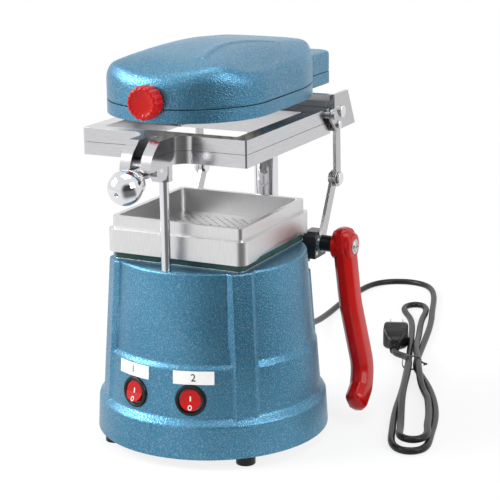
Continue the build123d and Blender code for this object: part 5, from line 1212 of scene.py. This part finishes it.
    def build(self) -> None:
        """Make the linkage."""
        self.handle()
        self.screw()
        for node, name, width, body in (
            ("crank_right", "crank_near", 0.35, "lever"),
            ("crank_left", "crank_far", 0.35, "lever"),
            ("toggle_pins", "toggle_studs", 0.35, "lever"),
            ("hub_spacer", "lever_spacer", 0.3, "lever"),
            ("link_right", "link_near", 0.35, "right_link"),
            ("link_left", "link_far", 0.35, "left_link"),
            ("lift_bracket", "lift_casting", 0.8, "carriage"),
            ("bracket_pins", "lift_pins", 0.4, "carriage"),
        ):
            copied(node, name, width, body)


# ---------------------------------------------------------------- heater head
@dataclass
class Head:
    """Egg-shaped heater head with its ring and round knob."""

    seam: float = 302.7
    centre: float = -26.6
    radius: float = 71.2
    flank: tuple[float, float] = (70.6, 36.0)
    heel: tuple[float, float] = (51.5, 99.0)
    corner: tuple[float, float] = (41.0, 109.5)
    across: Sequence[tuple[float, float]] = (
        (0, 45.6), (12, 45.4), (32.7, 42.8), (44.7, 38.4), (51.7, 33.6), (57.5, 29.2), (63.7, 26.0),
        (73, 22.5),
    )
    lengthwise: Sequence[tuple[float, float]] = (
        (-97.8, 24), (-81.8, 31.5), (-61.8, 38.3), (-19.9, 44.3), (0, 45.5), (25, 44.4), (50, 41.0),
        (75, 38.0), (100, 35.2), (111, 34.0),
    )
    tab_half: float = 50.0
    tab_rear: float = 151.0
    tab_height: float = 18.8
    tab_corner: float = 12.0
    tab_front: float = 82.0
    tab_edge: float = 2.6
    ridge: Sequence[tuple[float, float]] = (
        (31.5, -63), (29.8, -57.5), (26.7, -41.2), (24.2, -24.0), (23.4, -4.9), (25.6, 11.7), (30.9, 27.3),
        (36.8, 42.3), (40.5, 50.4),
    )
    ridge_rise: float = 1.5
    ridge_crest: float = 3.2
    shares: Sequence[float] = (
        0.12, 0.25, 0.38, 0.5, 0.6, 0.69, 0.76, 0.82, 0.865, 0.9, 0.925, 0.945, 0.96, 0.973, 0.983, 0.991,
        0.997, 1.0,
    )
    edge_width: float = 7.0
    edge_drop: float = 11.0
    middle: tuple[float, float] = (0.0, 5.0)
    soften: float = 12.0
    blend: float = 14.0
    blend_drop: float = 2.6
    voxel: float = 1.15
    seam_band: float = 1.4
    seam_gap: float = 0.7
    rim_spread: float = 1.0115
    rim_middle: float = 15.0
    knob_axis: float = 309.5
    knob_back: float = -98.4
    knob_front: float = -112.4
    lobe_count: int = 16
    heater_hollow: Sequence[tuple[float, float]] = ((55.0, 300.0), (55.0, 315.3))
    heater_place: Triple = (0, -8.0, 0)
    carriage_hollow: Sequence[tuple[float, float]] = ((23.1, 300.0), (23.1, 318.9))
    carriage_place: Triple = (0, 112.0, 0)

    @staticmethod
    def tangent_arc(start: Vector, heading: Vector, end: Vector, count: int) -> tuple[list[Vector], Vector]:
        """Arc from a point and heading to another point.

        Args:
            start: First point.
            heading: Direction there.
            end: Last point.
            count: Steps.

        Returns:
            Points after the first, and the heading at the end.
        """
        normal = Vector((-heading.y, heading.x))
        chord = end - start
        radius = chord.length_squared / (2 * chord.dot(normal))
        centre = start + normal * radius
        arm = start - centre
        sweep = 2 * math.atan2(heading.x * chord.y - heading.y * chord.x, heading.dot(chord))
        points = []
        for step in range(1, count + 1):
            turn = Matrix.Rotation(sweep * step / count, 2)
            points.append(centre + turn @ arm)
        return points, Matrix.Rotation(sweep, 2) @ heading

    def plan(self) -> list[Vector]:
        """Closed outline of the crown, seen from above."""
        points = [Vector((self.radius * math.cos(a), self.centre + self.radius * math.sin(a)))
                  for a in np.radians(np.linspace(-90, 0, 46))]
        heading = Vector((0.0, 1.0))
        for end, count in ((self.flank, 30), (self.heel, 34), (self.corner, 12)):
            more, heading = self.tangent_arc(points[-1], heading, Vector(end), count)
            points += more
        rear = [Vector((x, self.corner[1])) for x in np.linspace(self.corner[0] - 4, 0, 10)]
        half = points + rear
        return half + [Vector((-p.x, p.y)) for p in reversed(half[1:-1])]

    @staticmethod
    def softened(table: Sequence[tuple[float, float]], x: float, reach: float) -> float:
        """Value of a polyline at x, averaged over a reach on both sides."""
        places, values = zip(*table)
        return float(np.mean(np.interp(x + np.linspace(-reach, reach, 9), places, values)))

    def crown_height(self, x: float, y: float) -> float:
        """Height of the crown above the seam, before its edge is rounded."""
        front = self.softened(self.across, abs(x), self.soften)
        side = self.softened(self.lengthwise, y, self.soften)
        near = max(self.blend - abs(front - side), 0.0) / self.blend
        return min(front, side) - near * near * self.blend_drop

    def step(self, x: float, y: float) -> float:
        """Height that the curved step adds at a point of the crown."""
        best, signed, part = 1e9, 0.0, 0.0
        count = len(self.ridge) - 1
        for index in range(count):
            a, b = Vector(self.ridge[index]), Vector(self.ridge[index + 1])
            run = b - a
            t = min(1.0, max(0.0, (Vector((x, y)) - a).dot(run) / run.length_squared))
            near = a + run * t
            off = Vector((x, y)) - near
            if off.length < best:
                best = off.length
                signed = math.copysign(off.length, run.x * off.y - run.y * off.x)
                part = (index + t) / count
        fade = min(1.0, part / 0.12) * (1.0 - 0.75 * part ** 1.5)
        fade *= 1.0 if part < 0.999 else max(0.0, 1 - best / 8)
        hump = self.ridge_rise * math.exp(-((max(signed, 0.0) - self.ridge_crest) / 4.2) ** 2)
        if signed <= 0:
            hump *= math.exp(-(signed / 1.1) ** 2)
        groove = -0.55 * math.exp(-((signed + 0.9) / 1.1) ** 2)
        return fade * (hump + groove)

    def crown(self) -> Mesh:
        """Crown with its rounded edge, ring within ring."""
        outline = self.plan()
        middle = Vector(self.middle)
        rings = [[(p.x, p.y, self.seam) for p in outline]]
        for share in reversed(self.shares):
            ring = []
            for edge in outline:
                spot = middle + (edge - middle) * share
                inside = min((edge - spot).length * 0.93, self.edge_width) / self.edge_width
                fall = self.edge_drop * (1 - math.sqrt(max(0.0, 1 - (1 - inside) ** 2)))
                ring.append((spot.x, spot.y, self.seam + self.crown_height(spot.x, spot.y) - fall))
            rings.append(ring)
        return Mesh().rings(rings)

    def tab(self) -> Mesh:
        """Rear tab with two round corners and a rounded upper edge."""
        corner = self.tab_corner
        outline = []
        for side, start in ((1, 0), (-1, 90)):
            for step in range(10):
                turn = math.radians(start + 10 * step)
                outline.append((side * (self.tab_half - corner) + corner * math.cos(turn),
                                self.tab_rear - corner + corner * math.sin(turn)))
        outline += [(-self.tab_half, self.tab_front), (self.tab_half, self.tab_front)]
        rows = [(0.0, 0.0)]
        for angle in (0, 22, 45, 67, 90):
            turn = math.radians(angle)
            rows.append((self.tab_edge * (1 - math.cos(turn)),
                         self.tab_height - self.tab_edge * (1 - math.sin(turn))))
        rings = []
        for inset, z in rows:
            narrow = 1 - inset / self.tab_half
            rings.append([(x * narrow, y - (inset if y > 100 else 0), self.seam + z) for x, y in outline])
        return Mesh().rings(rings)

    def shell(self) -> bpy.types.Object:
        """Smooth cast crown and tab in one skin."""
        piece = self.crown().built("head_cover")
        carved(piece, self.tab().built("tab"), "UNION")
        remesh = piece.modifiers.new("skin", "REMESH")
        remesh.mode = "VOXEL"
        remesh.voxel_size = self.voxel * MM
        remesh.adaptivity = 0.0
        smooth = piece.modifiers.new("soft", "SMOOTH")
        smooth.factor = 0.5
        smooth.iterations = 7
        settle(piece)
        for vertex in piece.data.vertices:
            x, y, z = vertex.co / MM
            if z < self.seam + self.seam_band:
                vertex.co.z = (self.seam + self.seam_gap) * MM
            elif z > self.seam + 24 and -75 < y < 70 and 5 < x < 60:
                vertex.co.z += self.step(x, y) * MM
        tool = Mesh().lathe(self.heater_hollow, Matrix.Translation(self.heater_place), 96)
        tool.lathe(self.carriage_hollow, Matrix.Translation(self.carriage_place), 64)
        carved(piece, tool.built("hollow"))
        shade(piece, 55)
        return wear(piece, Slot.HAMMER_BLUE, "head", "head_shell")

    def knob(self) -> bpy.types.Object:
        """Round red knob with lobes and a dished front."""
        place = facing((0, self.knob_back, self.knob_axis), (0, -1, 0))
        length = self.knob_back - self.knob_front
        profile = [(3.0, 0.3), (12.2, 0.3), (13.2, 0.9), (13.8, 2.0), (14.0, 3.6), (14.0, length - 3.2),
                   (13.5, length - 1.6), (12.7, length - 0.6), (11.6, length - 0.1), (10.6, length - 0.2),
                   (9.8, length - 0.8), (5.0, length - 1.1), (0.3, length - 1.2)]

        def lobes(angle: float, height: float) -> float:
            """Lobes round the knob, shallower at both ends."""
            wave = math.cos(self.lobe_count * angle)
            if height > length - 0.5 or height < 0.6:
                return 1.0 - 0.02 * (1 - wave)
            return 1.0 - 0.055 * (0.5 - 0.5 * wave) ** 1.5
        mesh = Mesh()
        mesh.lathe(profile, place, 320, lobes)
        return wear(shade(mesh.built("head_knob"), 40), Slot.RED_GLOSS, "head", "grip_knob")

    def build(self) -> None:
        """Make the head."""
        self.shell()
        self.knob()
        rim = cad_copy("head_ring", "head_rim", 0.7)
        middle = self.rim_middle * MM
        for vertex in rim.data.vertices:
            vertex.co.x *= self.rim_spread
            vertex.co.y = middle + (vertex.co.y - middle) * self.rim_spread
        wear(rim, Slot.HAMMER_BLUE, "head", "head_ring")


# ---------------------------------------------------------------- remaining nodes
def dress_frame(frame: dict) -> None:
    """Give every CAD node that still shows its slot's finish."""
    slots = {part["node"]: part["material_slot"] for part in frame["record"]["subparts"]}
    for name, node in frame["nodes"].items():
        node["slot_name"] = slots[name]
        node.data.materials.clear()
        node.data.materials.append(PALETTE.of(Slot(slots[name])))
        LOG.info("%s wears %s", name, slots[name])


def main() -> None:
    """Build the whole scene."""
    logging.basicConfig(level=logging.INFO, format="%(message)s")
    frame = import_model()
    Studio().build()
    Lead().build()
    dress_frame(frame)
    Base().build()
    Switches().build()
    ClampFrames().build()
    Linkage().build()
    Head().build()


if __name__ == "__main__":
    main()
